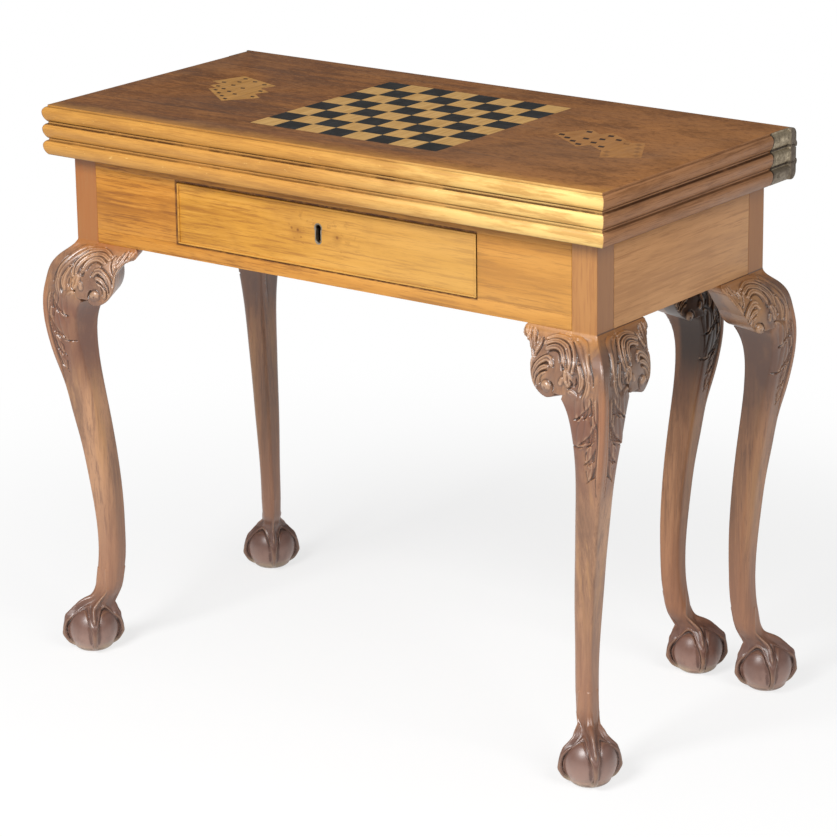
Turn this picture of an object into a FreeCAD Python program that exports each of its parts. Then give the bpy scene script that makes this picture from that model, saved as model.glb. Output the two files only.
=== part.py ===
import FreeCAD, Part
import math
import os

# Games table in millimetres: three stacked leaves on a frieze with a drawer, on four cabriole legs,
# with a fifth leg that swings out behind.
# X runs to the right as the front is faced, the front is towards -Y, Z is up, the origin is on the floor.

V = FreeCAD.Vector
UP = V(0, 0, 1)
RIGHT = V(1, 0, 0)
BACK = V(0, 1, 0)
ROOT2 = math.sqrt(2)

# Leaves
table_height = 765.0
leaf_width = 896.0
leaf_depth = 440.0
leaf_thickness = 22.2
leaf_parting = 0.4
leaf_back_round = 10.0
nose_projection = 6.0
nose_fillet_height = 2.6
nose_step = 1.5
nose_foot_recess = 5.0
nose_tip_share = 0.58
overrun = 2.0

# Frame
leaf_overhang = 29.0
frieze_height = 117.0
stile_size = 37.0
arris_round = 0.6
side_rail_thickness = 20.0
front_rail_depth = 37.0
front_panel_thickness = 22.0
front_top_rail_height = 15.4
front_bottom_rail_height = 18.6
inner_back_rail_thickness = 20.0
corner_block_size = 32.0
corner_block_height = 60.0

# Legs: sections run from the frieze down to the skirt that spreads over the ball
knee_reach = 49.4
knee_height_shares = (0.985, 0.970, 0.944, 0.913, 0.878, 0.844, 0.806, 0.768, 0.710)
shank_height_shares = (0.651, 0.590, 0.511, 0.432, 0.353, 0.274, 0.214, 0.174)
ankle_height_shares = (0.146, 0.131, 0.115, 0.100, 0.086)
knee_centre_shares = (-0.425, -0.243, -0.025, 0.100, 0.197, 0.257, 0.270, 0.232, 0.120)
shank_centre_shares = (-0.023, -0.154, -0.319, -0.445, -0.538, -0.579, -0.554, -0.491)
ankle_centre_shares = (-0.425, -0.325, -0.150, -0.020, 0.030)
knee_size_shares = (1.57, 1.84, 2.09, 2.11, 2.07, 1.98, 1.86, 1.73, 1.52)
shank_size_shares = (1.36, 1.30, 1.20, 1.13, 1.04, 0.96, 0.95, 0.94)
ankle_size_shares = (0.98, 1.08, 1.30, 1.50, 1.60)
ridge_round_shares = (0.03,) * 9 + (0.06,) * 6 + (0.10, 0.14) + (0.18, 0.22, 0.26, 0.28, 0.28)
side_round_shares = (0.04, 0.04, 0.04, 0.06, 0.06, 0.08, 0.11, 0.15, 0.19)
side_round_shares += (0.22, 0.24, 0.25, 0.26, 0.28, 0.31, 0.37, 0.40)
side_round_shares += (0.40, 0.38, 0.34, 0.30, 0.28)
front_rake_x = -6.0
front_rake_y = 5.0
back_rake_x = 4.0
back_rake_y = 14.0
front_bend_share = 0.0
back_bend_share = 4.5
front_leg_share = 1.0
back_leg_share = 0.95
gate_leg_share = 0.90

# Ball and claw feet: claws run from the ankle down over the ball
ball_radius = 35.0
ball_height = 29.5
ball_offset = 1.4
claw_reach = 33.0
claw_radius = 6.5
claw_height_shares = (2.98, 2.58, 2.24, 1.93, 1.56, 1.15, 0.75, 0.41, 0.17)
claw_ankle_shares = (1.00, 0.80, 0.35, 0.10, 0.0, 0.0, 0.0, 0.0, 0.0)
claw_reach_shares = (0.24, 0.30, 0.52, 0.82, 0.94, 1.00, 0.985, 0.85, 0.64)
claw_radius_shares = (0.77, 0.85, 0.92, 1.00, 1.00, 1.00, 0.92, 0.77, 0.54)

# Knee blocks, the carved ears beside the knees: lobe, neck, scroll and heel of the outline
ear_length = 72.0
ear_height = 80.0
ear_depth = 30.0
ear_section_place_shares = (-0.19, 0.18, 1.19)
ear_section_reach_shares = (1.03, 0.95, 0.25)
ear_edge_reach_share = 0.40
ear_face_height_shares = (0.0, 0.10, 0.22, 0.41, 0.63, 1.0)
ear_face_reach_shares = (0.0, 0.12, 0.32, 0.53, 0.64, 0.69)
front_ear_outline_shares = (
    ((1.06, 0.0), (1.10, 0.09), (1.00, 0.19)),
    ((1.00, 0.19), (0.76, 0.29), (0.62, 0.45)),
    ((0.62, 0.45), (0.47, 0.85), (0.20, 0.98)),
    ((0.20, 0.98), (0.07, 0.97), (0.0, 0.90)),
)
back_ear_outline_shares = (
    ((0.96, 0.0), (1.00, 0.08), (0.91, 0.17)),
    ((0.91, 0.17), (0.72, 0.38), (0.54, 0.57)),
    ((0.54, 0.57), (0.36, 0.78), (0.20, 0.88)),
    ((0.20, 0.88), (0.12, 0.90), (0.05, 0.88)),
)
front_ear_face_share = 1.0
back_ear_face_share = 0.93
front_ear_bevel_share = 0.54
back_ear_bevel_share = 0.30

# Swing leg, its fly rail and the wooden knuckle joint
gate_corner_x = 310.0
gate_pivot_x = -60.0
gate_clearance = 0.5
gate_top_clearance = 0.6
fly_rail_thickness = 24.0
knuckle_gap = 1.0
knuckle_clearance = 0.3
knuckle_count = 5
gate_pin_radius = 4.0
running_fit = 0.05

# Drawer
drawer_opening_width = 482.0
drawer_gap = 0.9
drawer_front_thickness = 20.0
drawer_side_thickness = 9.0
drawer_side_drop = 6.0
drawer_back_clearance = 6.0
drawer_bottom_thickness = 5.0
drawer_bottom_rise = 8.0
groove_depth = 4.0
slide_clearance = 0.3
bead_width = 2.5
bead_depth = 8.0
bead_projection = 1.5
runner_width = 30.0
runner_height = 18.0
guide_width = 14.0
guide_height = 30.0
kicker_width = 30.0
stop_width = 30.0
stop_depth = 12.0
stop_height = 6.0
stop_place = 150.0

# Drawer lock and keyhole
key_x = -7.3
key_rise = 10.5
keyhole_head_radius = 3.4
keyhole_slot_width = 5.4
keyhole_drop = 11.5
escutcheon_wall = 1.2
escutcheon_depth = 6.0
lock_width = 54.0
lock_height = 40.0
lock_depth = 8.0
bolt_width = 16.0
bolt_thickness = 4.0
bolt_length = 24.0
bolt_rise = 6.0
lock_screw_inset = 5.0
lock_screw_radius = 1.3
lock_screw_length = 14.0

# Card-table hinges let into the ends of the leaves
plate_length = 56.0
plate_thickness = 5.0
pivot_setback = 0.2
eye_radius = 4.0
eye_clearance = 0.3
hinge_pin_radius = 1.6
hinge_screw_radius = 1.6
hinge_screw_length = 26.0
hinge_screw_places = (14.0, 40.0)

# Screws
screw_fit = 0.05
screw_head_share = 2.0
screw_slot_share = 0.5
fixing_screw_radius = 2.2
fixing_screw_bite = 12.0
fixing_screw_x = 150.0
fixing_screw_y = 60.0

# Playing surfaces and inlay
baize_margin = 58.0
baize_back_margin = 3.0
baize_thickness = 1.2
baize_recess = 1.4
inlay_thickness = 1.2
board_size = 298.0
board_count = 8
card_length = 81.0
card_width = 52.0
left_card_place_shares = ((-0.344, 0.075), (-0.327, 0.009), (-0.3125, -0.052))
left_card_degrees = (-19, -28, -38)
right_card_place_shares = ((0.328, 0.033), (0.290, 0.034), (0.377, -0.034))
right_card_degrees = (-33, -35, -60)
seven_pip_shares = tuple((column, row) for row in (-0.33, 0.33) for column in (-0.30, 0.0, 0.30))
seven_pip_shares += ((-0.15, 0.0),)
eight_pip_shares = tuple((column, row) for row in (-0.36, 0.36) for column in (-0.36, -0.12, 0.12, 0.36))
pip_length = 9.0
pip_width = 6.5

# Levels and faces that follow from the sizes above
frame_top = table_height - 3 * leaf_thickness - 2 * leaf_parting
frieze_bottom = frame_top - frieze_height
half_leaf_width = leaf_width / 2
half_frame_width = half_leaf_width - leaf_overhang
half_frame_depth = leaf_depth / 2 - leaf_overhang
front_face = -half_frame_depth
leaf_front = -leaf_depth / 2
leaf_back = leaf_depth / 2
leaf_pitch = leaf_thickness + leaf_parting
bottom_base = frame_top
middle_base = frame_top + leaf_pitch
top_base = middle_base + leaf_pitch
lower_pivot_z = middle_base - leaf_parting / 2
upper_pivot_z = top_base - leaf_parting / 2
pivot_y = leaf_back + pivot_setback
opening_low = frieze_bottom + front_bottom_rail_height
opening_high = frame_top - front_top_rail_height
half_opening = drawer_opening_width / 2
back_rail_face = half_frame_depth - stile_size
back_rail_front = back_rail_face - inner_back_rail_thickness
gate_top = frame_top - leaf_pitch - gate_top_clearance
knuckle_radius = fly_rail_thickness / 2
gate_pivot_y = back_rail_face + gate_clearance + knuckle_radius
front_rail_back = front_face + front_rail_depth
drawer_half = half_opening - drawer_gap
drawer_low = opening_low + drawer_gap
drawer_high = opening_high - drawer_gap
drawer_front_back = front_face + drawer_front_thickness
drawer_side_low = opening_low + slide_clearance
drawer_side_high = drawer_high - drawer_side_drop
drawer_end = back_rail_front - drawer_back_clearance
drawer_bottom_low = drawer_side_low + drawer_bottom_rise
drawer_bottom_high = drawer_bottom_low + drawer_bottom_thickness
key_z = (opening_low + opening_high) / 2 + key_rise
lock_z = key_z - keyhole_drop / 2


def block(x0, x1, y0, y1, z0, z1):
    """Box between two opposite corners."""
    low = V(min(x0, x1), min(y0, y1), min(z0, z1))
    return Part.makeBox(abs(x1 - x0), abs(y1 - y0), abs(z1 - z0), low)


def line(start, end):
    """Straight edge."""
    return Part.makeLine(start, end)


def arc(start, middle, end):
    """Round edge through three points."""
    return Part.Arc(start, middle, end).toShape()


def sweep(edges, path):
    """Solid swept along a straight path from the closed outline that the edges make."""
    return Part.Face(Part.Wire(Part.__sortEdges__(edges))).extrude(path)


def polygon_sweep(points, path):
    """Solid swept along a straight path from a polygon."""
    return Part.Face(Part.makePolygon(points + points[:1])).extrude(path)


def mirrored(shape, flip_x, flip_y):
    """Shape reflected across the planes x = 0 and y = 0 as asked."""
    if flip_x:
        shape = shape.mirror(V(), RIGHT)
    if flip_y:
        shape = shape.mirror(V(), BACK)
    return shape


def screw(head, way, radius, length, grow=0.0):
    """Countersunk slotted screw from its head's face, or its hole when it is grown."""
    wide = radius * screw_head_share
    sink = Part.makeCone(wide + grow, radius + grow, wide - radius, head, way)
    shank = Part.makeCylinder(radius + grow, length + grow, head, way)
    body = sink.fuse(shank)
    if grow:
        return body.removeSplitter()
    slot_half = radius * screw_slot_share / 2
    slot = Part.makeBox(2 * wide, 2 * slot_half, 2 * slot_half, V(-wide, -slot_half, -slot_half))
    slot.Placement = FreeCAD.Placement(head, FreeCAD.Rotation(UP, way))
    return body.cut(slot).removeSplitter()


# Leaves


def bulge(place, tip, end):
    """Arc from the nose's widest line to one of its ends, upright at the tip."""
    reach = abs(end[0] - tip[0])
    rise = abs(end[1] - tip[1])
    radius = (reach ** 2 + rise ** 2) / (2 * reach)
    half_turn = math.atan2(rise, radius - reach) / 2
    way = 1 if end[0] > tip[0] else -1
    lift = 1 if end[1] > tip[1] else -1
    middle_s = tip[0] + way * radius * (1 - math.cos(half_turn))
    middle_z = tip[1] + lift * radius * math.sin(half_turn)
    return arc(place(*tip), place(middle_s, middle_z), place(*end))


def nose_edges(place, edge, inward, base):
    """Moulded nose from the leaf's underside up to its top arris."""
    foot = (edge + inward * nose_foot_recess, base)
    tip = (edge, base + nose_tip_share * leaf_thickness)
    brow_z = base + leaf_thickness - nose_fillet_height
    brow = (edge + inward * (nose_projection - nose_step), brow_z)
    quirk = (edge + inward * nose_projection, brow_z)
    arris = (edge + inward * nose_projection, base + leaf_thickness)
    edges = [bulge(place, tip, foot), bulge(place, tip, brow)]
    edges += [line(place(*brow), place(*quirk)), line(place(*quirk), place(*arris))]
    return edges, foot, arris


def back_edges(place, edge, base, round_low, round_high):
    """Square back edge, with its lower or upper corner rounded as asked."""
    low = (edge, base)
    high = (edge, base + leaf_thickness)
    foot = low
    arris = high
    edges = []
    slack = leaf_back_round * (1 - 1 / ROOT2)
    if round_low:
        foot = (edge - leaf_back_round, base)
        low = (edge, base + leaf_back_round)
        edges.append(arc(place(*foot), place(edge - slack, base + slack), place(*low)))
    if round_high:
        arris = (edge - leaf_back_round, base + leaf_thickness)
        high = (edge, base + leaf_thickness - leaf_back_round)
        edges.append(arc(place(*arris), place(edge - slack, arris[1] - slack), place(*high)))
    edges.append(line(place(*low), place(*high)))
    return edges, foot, arris


def leaf_board(base, round_low=False, round_high=False):
    """One leaf: moulded along the front and both ends, plain along the back."""

    def across(s, z):
        return V(-half_leaf_width - overrun, s, z)

    def along(s, z):
        return V(s, leaf_front - overrun, z)

    front, front_foot, front_arris = nose_edges(across, leaf_front, 1, base)
    back, back_foot, back_arris = back_edges(across, leaf_back, base, round_low, round_high)
    joins = [line(across(*front_foot), across(*back_foot)), line(across(*front_arris), across(*back_arris))]
    crosswise = sweep(front + back + joins, RIGHT * (leaf_width + 2 * overrun))
    left, left_foot, left_arris = nose_edges(along, -half_leaf_width, 1, base)
    right, right_foot, right_arris = nose_edges(along, half_leaf_width, -1, base)
    joins = [line(along(*left_foot), along(*right_foot)), line(along(*left_arris), along(*right_arris))]
    lengthwise = sweep(left + right + joins, BACK * (leaf_depth + 2 * overrun))
    return crosswise.common(lengthwise)


def hinge_pockets(base):
    """Pockets for the hinge plates at both ends of a leaf."""
    pockets = []
    for side in (-1, 1):
        pockets.append(block(side * (half_leaf_width - plate_thickness), side * (half_leaf_width + overrun),
                             leaf_back - plate_length, leaf_back + overrun,
                             base - overrun, base + leaf_thickness + overrun))
    return pockets


def hinge_screw_set(base, grow=0.0):
    """Screws that hold the two plates of a leaf, driven in along X."""
    screws = []
    for side in (-1, 1):
        for place in hinge_screw_places:
            head = V(side * half_leaf_width, leaf_back - plate_length + place, base + leaf_thickness / 2)
            screws.append(screw(head, RIGHT * -side, hinge_screw_radius, hinge_screw_length, grow))
    return screws


def leaf(base, round_low=False, round_high=False):
    """Leaf with its hinge pockets and screw holes cut."""
    cuts = hinge_pockets(base) + hinge_screw_set(base, screw_fit)
    return leaf_board(base, round_low, round_high).cut(cuts)


def baize_sheet(face, below, thickness):
    """Flat panel inside the border of a leaf, from its face down, or up when below is false."""
    end = face - thickness if below else face + thickness
    half = half_leaf_width - baize_margin
    return block(-half, half, leaf_front + baize_margin, leaf_back - baize_back_margin, face, end)


def baize_panel(face, below):
    """Cloth that lies at the bottom of its recess."""
    space_above = baize_sheet(face, below, baize_recess - baize_thickness)
    return baize_sheet(face, below, baize_recess).cut(space_above)


# Inlay in the top leaf


def chess_squares():
    """Veneer squares of the board, split into dark and light ones."""
    pitch = board_size / board_count
    dark = []
    light = []
    for column in range(board_count):
        for row in range(board_count):
            x = -board_size / 2 + column * pitch
            y = -board_size / 2 + row * pitch
            square = block(x, x + pitch, y, y + pitch, table_height - inlay_thickness, table_height)
            if (column + row) % 2:
                dark.append(square)
            else:
                light.append(square)
    return dark, light


def turned(point, place):
    """Point of a card's own plane carried to its place on the table top."""
    angle = math.radians(place[2])
    x = place[0] + point[0] * math.cos(angle) - point[1] * math.sin(angle)
    y = place[1] + point[0] * math.sin(angle) + point[1] * math.cos(angle)
    return V(x, y, table_height - inlay_thickness)


def card_panel(place):
    """Rectangular veneer of one playing card."""
    corners = ((-0.5, -0.5), (0.5, -0.5), (0.5, 0.5), (-0.5, 0.5))
    points = [turned((card_length * u, card_width * v), place) for u, v in corners]
    return polygon_sweep(points, UP * inlay_thickness)


def pip(centre, place):
    """Lozenge of dark veneer let into a card."""
    corners = ((-0.5, 0.0), (0.0, -0.5), (0.5, 0.0), (0.0, 0.5))
    points = []
    for u, v in corners:
        x = card_length * centre[0] + pip_length * u
        y = card_width * centre[1] + pip_width * v
        points.append(turned((x, y), place))
    return polygon_sweep(points, UP * inlay_thickness)


def card_group(place_shares, degrees):
    """Overlapping cards, the first on top: what shows of each card, its whole pips and the pocket."""
    cards = []
    pips = []
    above = None
    for number, (across, along) in enumerate(place_shares):
        place = (across * leaf_width, along * leaf_depth, degrees[number])
        panel = card_panel(place)
        seen = panel.cut(above) if above else panel
        above = above.fuse(panel) if above else panel
        for centre in eight_pip_shares if number else seven_pip_shares:
            mark = pip(centre, place)
            if math.isclose(mark.common(seen).Volume, mark.Volume, rel_tol=1e-6):
                pips.append(mark)
                seen = seen.cut(mark)
        cards += seen.Solids
    return cards, pips, above


# Hinges


def plate_outline(side, inner, outer, base, round_low, round_high):
    """Hinge plate between two depths from the leaf's end, with its back corners as the leaf's."""

    def place(s, z):
        return V(side * (half_leaf_width - inner), s, z)

    front = leaf_back - plate_length
    edges, foot, arris = back_edges(place, leaf_back, base, round_low, round_high)
    edges.append(line(place(front, base), place(*foot)))
    edges.append(line(place(front, base), place(front, base + leaf_thickness)))
    edges.append(line(place(front, base + leaf_thickness), place(*arris)))
    return sweep(edges, RIGHT * side * (inner - outer))


def eye_disc(side, inner, outer, pivot_z, radius):
    """Disc about a hinge pivot between two depths from the leaf's end."""
    start = V(side * (half_leaf_width - inner), pivot_y, pivot_z)
    return Part.makeCylinder(radius, inner - outer, start, RIGHT * side)


def hinge_plate(side, base, pivots, eye_outside, round_low=False, round_high=False):
    """Plate with a half-thick eye at each pivot, lapped with its neighbour's eye."""
    half = plate_thickness / 2
    gap = eye_clearance / 2
    notch_radius = eye_radius + eye_clearance
    plate = plate_outline(side, plate_thickness, 0, base, round_low, round_high)
    for pivot_z in pivots:
        if eye_outside:
            plate = plate.cut(eye_disc(side, plate_thickness, half - gap, pivot_z, notch_radius))
            plate = plate.fuse(eye_disc(side, half - gap, 0, pivot_z, eye_radius))
        else:
            plate = plate.cut(eye_disc(side, half + gap, 0, pivot_z, notch_radius))
            plate = plate.fuse(eye_disc(side, plate_thickness, half + gap, pivot_z, eye_radius))
        plate = plate.cut(eye_disc(side, plate_thickness, 0, pivot_z, hinge_pin_radius + running_fit))
    return plate.cut(hinge_screw_set(base, screw_fit)).removeSplitter()


def hinge_pins(pivot_z):
    """Pins through the lapped eyes at both ends."""
    return [eye_disc(side, plate_thickness, 0, pivot_z, hinge_pin_radius) for side in (-1, 1)]


# Legs, made with the outer corner at the origin, standing out towards +X and +Y


def rounded_square(centre_x, centre_y, side, ridge, flank, z):
    """Closed outline of a leg section: ridge rounds on the diagonal, flank rounds beside it."""
    half = side / 2
    edges = []
    last = None
    first = None
    for turn, radius in enumerate((ridge, flank, ridge, flank)):
        angle = math.pi / 2 * turn
        x = half - radius
        points = []
        for step in (0, 0.5, 1):
            bend = math.pi / 2 * step
            u = x + radius * math.cos(bend)
            v = x + radius * math.sin(bend)
            points.append(V(centre_x + u * math.cos(angle) - v * math.sin(angle),
                            centre_y + u * math.sin(angle) + v * math.cos(angle), z))
        if last:
            edges.append(line(last, points[0]))
        else:
            first = points[0]
        edges.append(arc(*points))
        last = points[2]
    edges.append(line(last, first))
    return Part.Wire(edges)


def stile_outline():
    """Square section of a leg where it meets the frieze."""
    centre = -stile_size / 2
    return rounded_square(centre, centre, stile_size, arris_round, arris_round, frieze_bottom)


def leg_shank(rake_x, rake_y, bend_share, size_share):
    """Cabriole from the frieze down to the skirt over the ball."""
    wires = [stile_outline()]
    heights = knee_height_shares + shank_height_shares + ankle_height_shares
    centres = knee_centre_shares + shank_centre_shares + ankle_centre_shares
    sizes = knee_size_shares + shank_size_shares + ankle_size_shares
    for number, height in enumerate(heights):
        diagonal = sizes[number] * stile_size * size_share
        ridge = ridge_round_shares[number] * diagonal
        flank = side_round_shares[number] * diagonal
        side = diagonal / ROOT2 + ridge * (2 - ROOT2)
        offset = centres[number] * knee_reach / ROOT2
        lean = (1 - height) * (1 - bend_share * height ** 3)
        x = offset + rake_x * lean
        y = offset + rake_y * lean
        wires.append(rounded_square(x, y, side, ridge, flank, height * frieze_bottom))
    return Part.makeLoft(wires, True, False)


def claw(angle, foot_x, foot_y):
    """One toe, bent over the ball from the ankle to the floor."""
    radii = [share * claw_radius for share in claw_radius_shares]
    ankle_shift = ankle_centre_shares[0] * knee_reach / ROOT2 - ball_offset
    points = []
    for reach, height, ankle in zip(claw_reach_shares, claw_height_shares, claw_ankle_shares):
        out = reach * claw_reach
        x = foot_x + ankle * ankle_shift + out * math.cos(angle)
        y = foot_y + ankle * ankle_shift + out * math.sin(angle)
        points.append(V(x, y, height * ball_height))
    wires = []
    for number, point in enumerate(points):
        before = points[max(number - 1, 0)]
        after = points[min(number + 1, len(points) - 1)]
        wires.append(Part.Wire(Part.makeCircle(radii[number], point, after - before)))
    return Part.makeLoft(wires, True, False)


def leg(rake_x, rake_y, bend_share, size_share, top):
    """Whole leg: square stile, cabriole, ball and four claws, cut flat at the floor."""
    stile = Part.Face(stile_outline()).extrude(UP * (top - frieze_bottom))
    foot_x = ball_offset + rake_x
    foot_y = ball_offset + rake_y
    ball = Part.makeSphere(ball_radius, V(foot_x, foot_y, ball_height))
    claws = [claw(math.pi / 4 + math.pi / 2 * turn, foot_x, foot_y) for turn in range(4)]
    whole = leg_shank(rake_x, rake_y, bend_share, size_share).fuse([stile, ball] + claws)
    reach = 2 * (ball_radius + claw_reach)
    floor = block(-reach, reach, -reach, reach, -reach, 0)
    return whole.cut(floor)


def largest(shape):
    """The largest of the solids that a cut leaves."""
    return max(shape.Solids, key=lambda piece: piece.Volume)


def ear_section(x, share):
    """Closed outline of a knee block across its length, its face swelling like the knee's."""
    top = frieze_bottom
    face = []
    for height, reach in zip(ear_face_height_shares, ear_face_reach_shares):
        face.append(V(x, share * reach * knee_reach, top - height * ear_height))
    curve = Part.BSplineCurve()
    curve.interpolate(face)
    back_low = V(x, -ear_depth, top - ear_height)
    back_high = V(x, -ear_depth, top)
    edges = [curve.toShape(), line(face[-1], back_low), line(back_low, back_high), line(back_high, face[0])]
    return Part.Wire(edges)


def knee_block(leg_shape, outline_shares, face_share, bevel_share):
    """Ear that runs from the stile towards -X, its scrolled edge bevelled back, fitted against the leg.

    Its inner end is mitred on the leg's diagonal, where the ear of the leg's other face meets it.
    """
    sections = []
    for along, reach in zip(ear_section_place_shares, ear_section_reach_shares):
        sections.append(ear_section(-stile_size - along * ear_length, reach * face_share))
    body = Part.makeLoft(sections, True, False)
    back = -ear_depth - overrun
    pull = bevel_share * (ear_edge_reach_share * knee_reach - back)

    def place(u, v):
        return V(pull - stile_size - u * ear_length, back, frieze_bottom - v * ear_height)

    edges = [arc(*[place(*point) for point in points]) for points in outline_shares]
    start = place(*outline_shares[0][0])
    end = place(*outline_shares[-1][-1])
    inner_high = V(ear_length, start.y, start.z)
    inner_low = V(ear_length, end.y, end.z)
    edges.append(line(start, inner_high))
    edges.append(line(inner_high, inner_low))
    edges.append(line(inner_low, end))
    outline = sweep(edges, V(-bevel_share, 1, 0) * (knee_reach - back + overrun))
    low = frieze_bottom - 2 * ear_height
    far = 2 * back
    mitre = polygon_sweep([V(0, 0, low), V(far, far, low), V(0, far, low)], UP * 3 * ear_height)
    return largest(body.common(outline).cut([leg_shape, mitre]))


def set_leg(shape, right, back):
    """Leg or knee block carried from the origin to a corner of the frame."""
    x = half_frame_width if right else -half_frame_width
    y = half_frame_depth if back else -half_frame_depth
    return mirrored(shape, not right, not back).translated(V(x, y, 0))


def side_ear(ear):
    """Knee block of a leg's other face: reflected across the leg's diagonal."""
    return ear.mirror(V(), V(1, -1, 0))


# Frame


def front_rails():
    """Rails above and below the drawer opening, and the panels beside it."""
    half = half_frame_width - stile_size
    top_rail = block(-half, half, front_face, front_rail_back, opening_high, frame_top)
    bolt_half = bolt_width / 2 + slide_clearance
    bolt_low, bolt_high = bolt_faces()
    mortise = block(key_x - bolt_half, key_x + bolt_half,
                    bolt_low - slide_clearance, bolt_high + slide_clearance,
                    opening_high, opening_high + bolt_rise + slide_clearance)
    parts = {"front_top_rail": top_rail.cut([mortise] + fixing_screws(screw_fit))}
    parts["front_bottom_rail"] = block(-half, half, front_face, front_rail_back, frieze_bottom, opening_low)
    panel_back = front_face + front_panel_thickness
    for name, side in (("left", -1), ("right", 1)):
        panel = block(side * half, side * half_opening, front_face, panel_back, opening_low, opening_high)
        parts[f"front_{name}_panel"] = panel
    return parts


def side_rail(side):
    """Rail between the front and back stiles of one end."""
    outer = side * half_frame_width
    inner = side * (half_frame_width - side_rail_thickness)
    end = half_frame_depth - stile_size
    return block(outer, inner, -end, end, frieze_bottom, frame_top)


def corner_blocks():
    """Three-cornered glue blocks inside the frame, under the bottom leaf."""
    blocks = []
    inner = half_frame_width - side_rail_thickness
    low = frame_top - corner_block_height
    for side in (-1, 1):
        for y, way in ((front_face + stile_size, 1), (back_rail_front, -1)):
            x = side * inner
            far_x = x - side * corner_block_size
            far_y = y + way * corner_block_size
            points = [V(x, y, low), V(far_x, y, low), V(x, far_y, low)]
            blocks.append(polygon_sweep(points, UP * corner_block_height))
    return blocks


def knuckle_level(number):
    """Height of the underside of a knuckle finger."""
    return frieze_bottom + (gate_top - frieze_bottom) * number / knuckle_count


def finger(number, way, inset):
    """One finger of the wooden knuckle joint, reaching from its rail round the pin."""
    low = knuckle_level(number) + inset
    high = knuckle_level(number + 1) - inset
    root = gate_pivot_x + way * (knuckle_radius + knuckle_gap)
    arm = block(gate_pivot_x, root, gate_pivot_y - knuckle_radius, gate_pivot_y + knuckle_radius, low, high)
    return arm.fuse(Part.makeCylinder(knuckle_radius, high - low, V(gate_pivot_x, gate_pivot_y, low)))


def gate_pin(grow=0.0):
    """Steel rod of the knuckle joint, or its hole when it is grown."""
    foot = V(gate_pivot_x, gate_pivot_y, frieze_bottom)
    return Part.makeCylinder(gate_pin_radius + grow, gate_top - frieze_bottom, foot)


def fixed_knuckle_rail():
    """Outer back rail from the back left stile to the knuckle joint."""
    end = gate_pivot_x - knuckle_radius - knuckle_gap
    rail = block(-half_frame_width + stile_size, end,
                 back_rail_face, gate_pivot_y + knuckle_radius, frieze_bottom, gate_top)
    fingers = [finger(number, -1, 0) for number in range(0, knuckle_count, 2)]
    return rail.fuse(fingers).cut(gate_pin(running_fit)).removeSplitter()


def fly_rail():
    """Swinging rail from the knuckle joint to the swing leg."""
    start = gate_pivot_x + knuckle_radius + knuckle_gap
    rail = block(start, gate_corner_x - stile_size,
                 gate_pivot_y - knuckle_radius, gate_pivot_y + knuckle_radius, frieze_bottom, gate_top)
    fingers = [finger(number, 1, knuckle_clearance) for number in range(1, knuckle_count, 2)]
    return rail.fuse(fingers).cut(gate_pin(running_fit)).removeSplitter()


def set_gate(shape):
    """Swing leg or its knee block carried from the origin to its place at rest."""
    return shape.translated(V(gate_corner_x, half_frame_depth + gate_clearance, 0))


def fixing_screws(grow=0.0):
    """Screws up through the front rail and the kickers into the bottom leaf."""
    length = front_top_rail_height + fixing_screw_bite
    kicker_x = half_opening - kicker_width / 2
    places = [(side * fixing_screw_x, front_rail_back - front_rail_depth / 2) for side in (-1, 1)]
    places += [(side * kicker_x, y) for side in (-1, 1) for y in (-fixing_screw_y, fixing_screw_y)]
    return [screw(V(x, y, opening_high), UP, fixing_screw_radius, length, grow) for x, y in places]


# Drawer and what it runs on


def ring(width, y0, y1):
    """Four strips round the edge of the drawer front."""
    return [
        block(-drawer_half, drawer_half, y0, y1, drawer_high - width, drawer_high),
        block(-drawer_half, drawer_half, y0, y1, drawer_low, drawer_low + width),
        block(-drawer_half, -drawer_half + width, y0, y1, drawer_low + width, drawer_high - width),
        block(drawer_half - width, drawer_half, y0, y1, drawer_low + width, drawer_high - width),
    ]


def keyhole(grow, y0, y1):
    """Keyhole with a round head and a round-ended slot below it."""
    head = Part.makeCylinder(keyhole_head_radius + grow, y1 - y0, V(key_x, y0, key_z), BACK)
    half = keyhole_slot_width / 2 + grow
    foot = Part.makeCylinder(half, y1 - y0, V(key_x, y0, key_z - keyhole_drop), BACK)
    slot = block(key_x - half, key_x + half, y0, y1, key_z - keyhole_drop, key_z)
    return head.fuse([foot, slot]).removeSplitter()


def bolt_faces():
    """Front and back faces of the lock's bolt."""
    middle = drawer_front_back - lock_depth / 2
    return middle - bolt_thickness / 2, middle + bolt_thickness / 2


def lock_bolt(grow=0.0):
    """Bolt that rises from the drawer's lock into the rail, or its channel when it is grown."""
    half = bolt_width / 2 + grow
    low, high = bolt_faces()
    foot = drawer_high - slide_clearance - bolt_length
    head = drawer_high + grow if grow else drawer_high - slide_clearance
    return block(key_x - half, key_x + half, low - grow, high + grow, foot - grow, head)


def lock_screws(grow=0.0):
    """Four screws through the lock case into the drawer front."""
    screws = []
    for side in (-1, 1):
        for rise in (-1, 1):
            x = key_x + side * (lock_width / 2 - lock_screw_inset)
            z = lock_z + rise * (lock_height / 2 - lock_screw_inset)
            head = V(x, drawer_front_back, z)
            screws.append(screw(head, -BACK, lock_screw_radius, lock_screw_length, grow))
    return screws


def lock_recess():
    """Space that the lock case fills behind the drawer front."""
    return block(key_x - lock_width / 2, key_x + lock_width / 2,
                 drawer_front_back - lock_depth, drawer_front_back,
                 lock_z - lock_height / 2, lock_z + lock_height / 2)


def drawer_bottom(grow=0.0):
    """Bottom panel that sits in grooves of the sides and front."""
    half = drawer_half - drawer_side_thickness + groove_depth + grow
    return block(-half, half, drawer_front_back - groove_depth - grow, drawer_end,
                 drawer_bottom_low - grow, drawer_bottom_high + grow)


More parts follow.
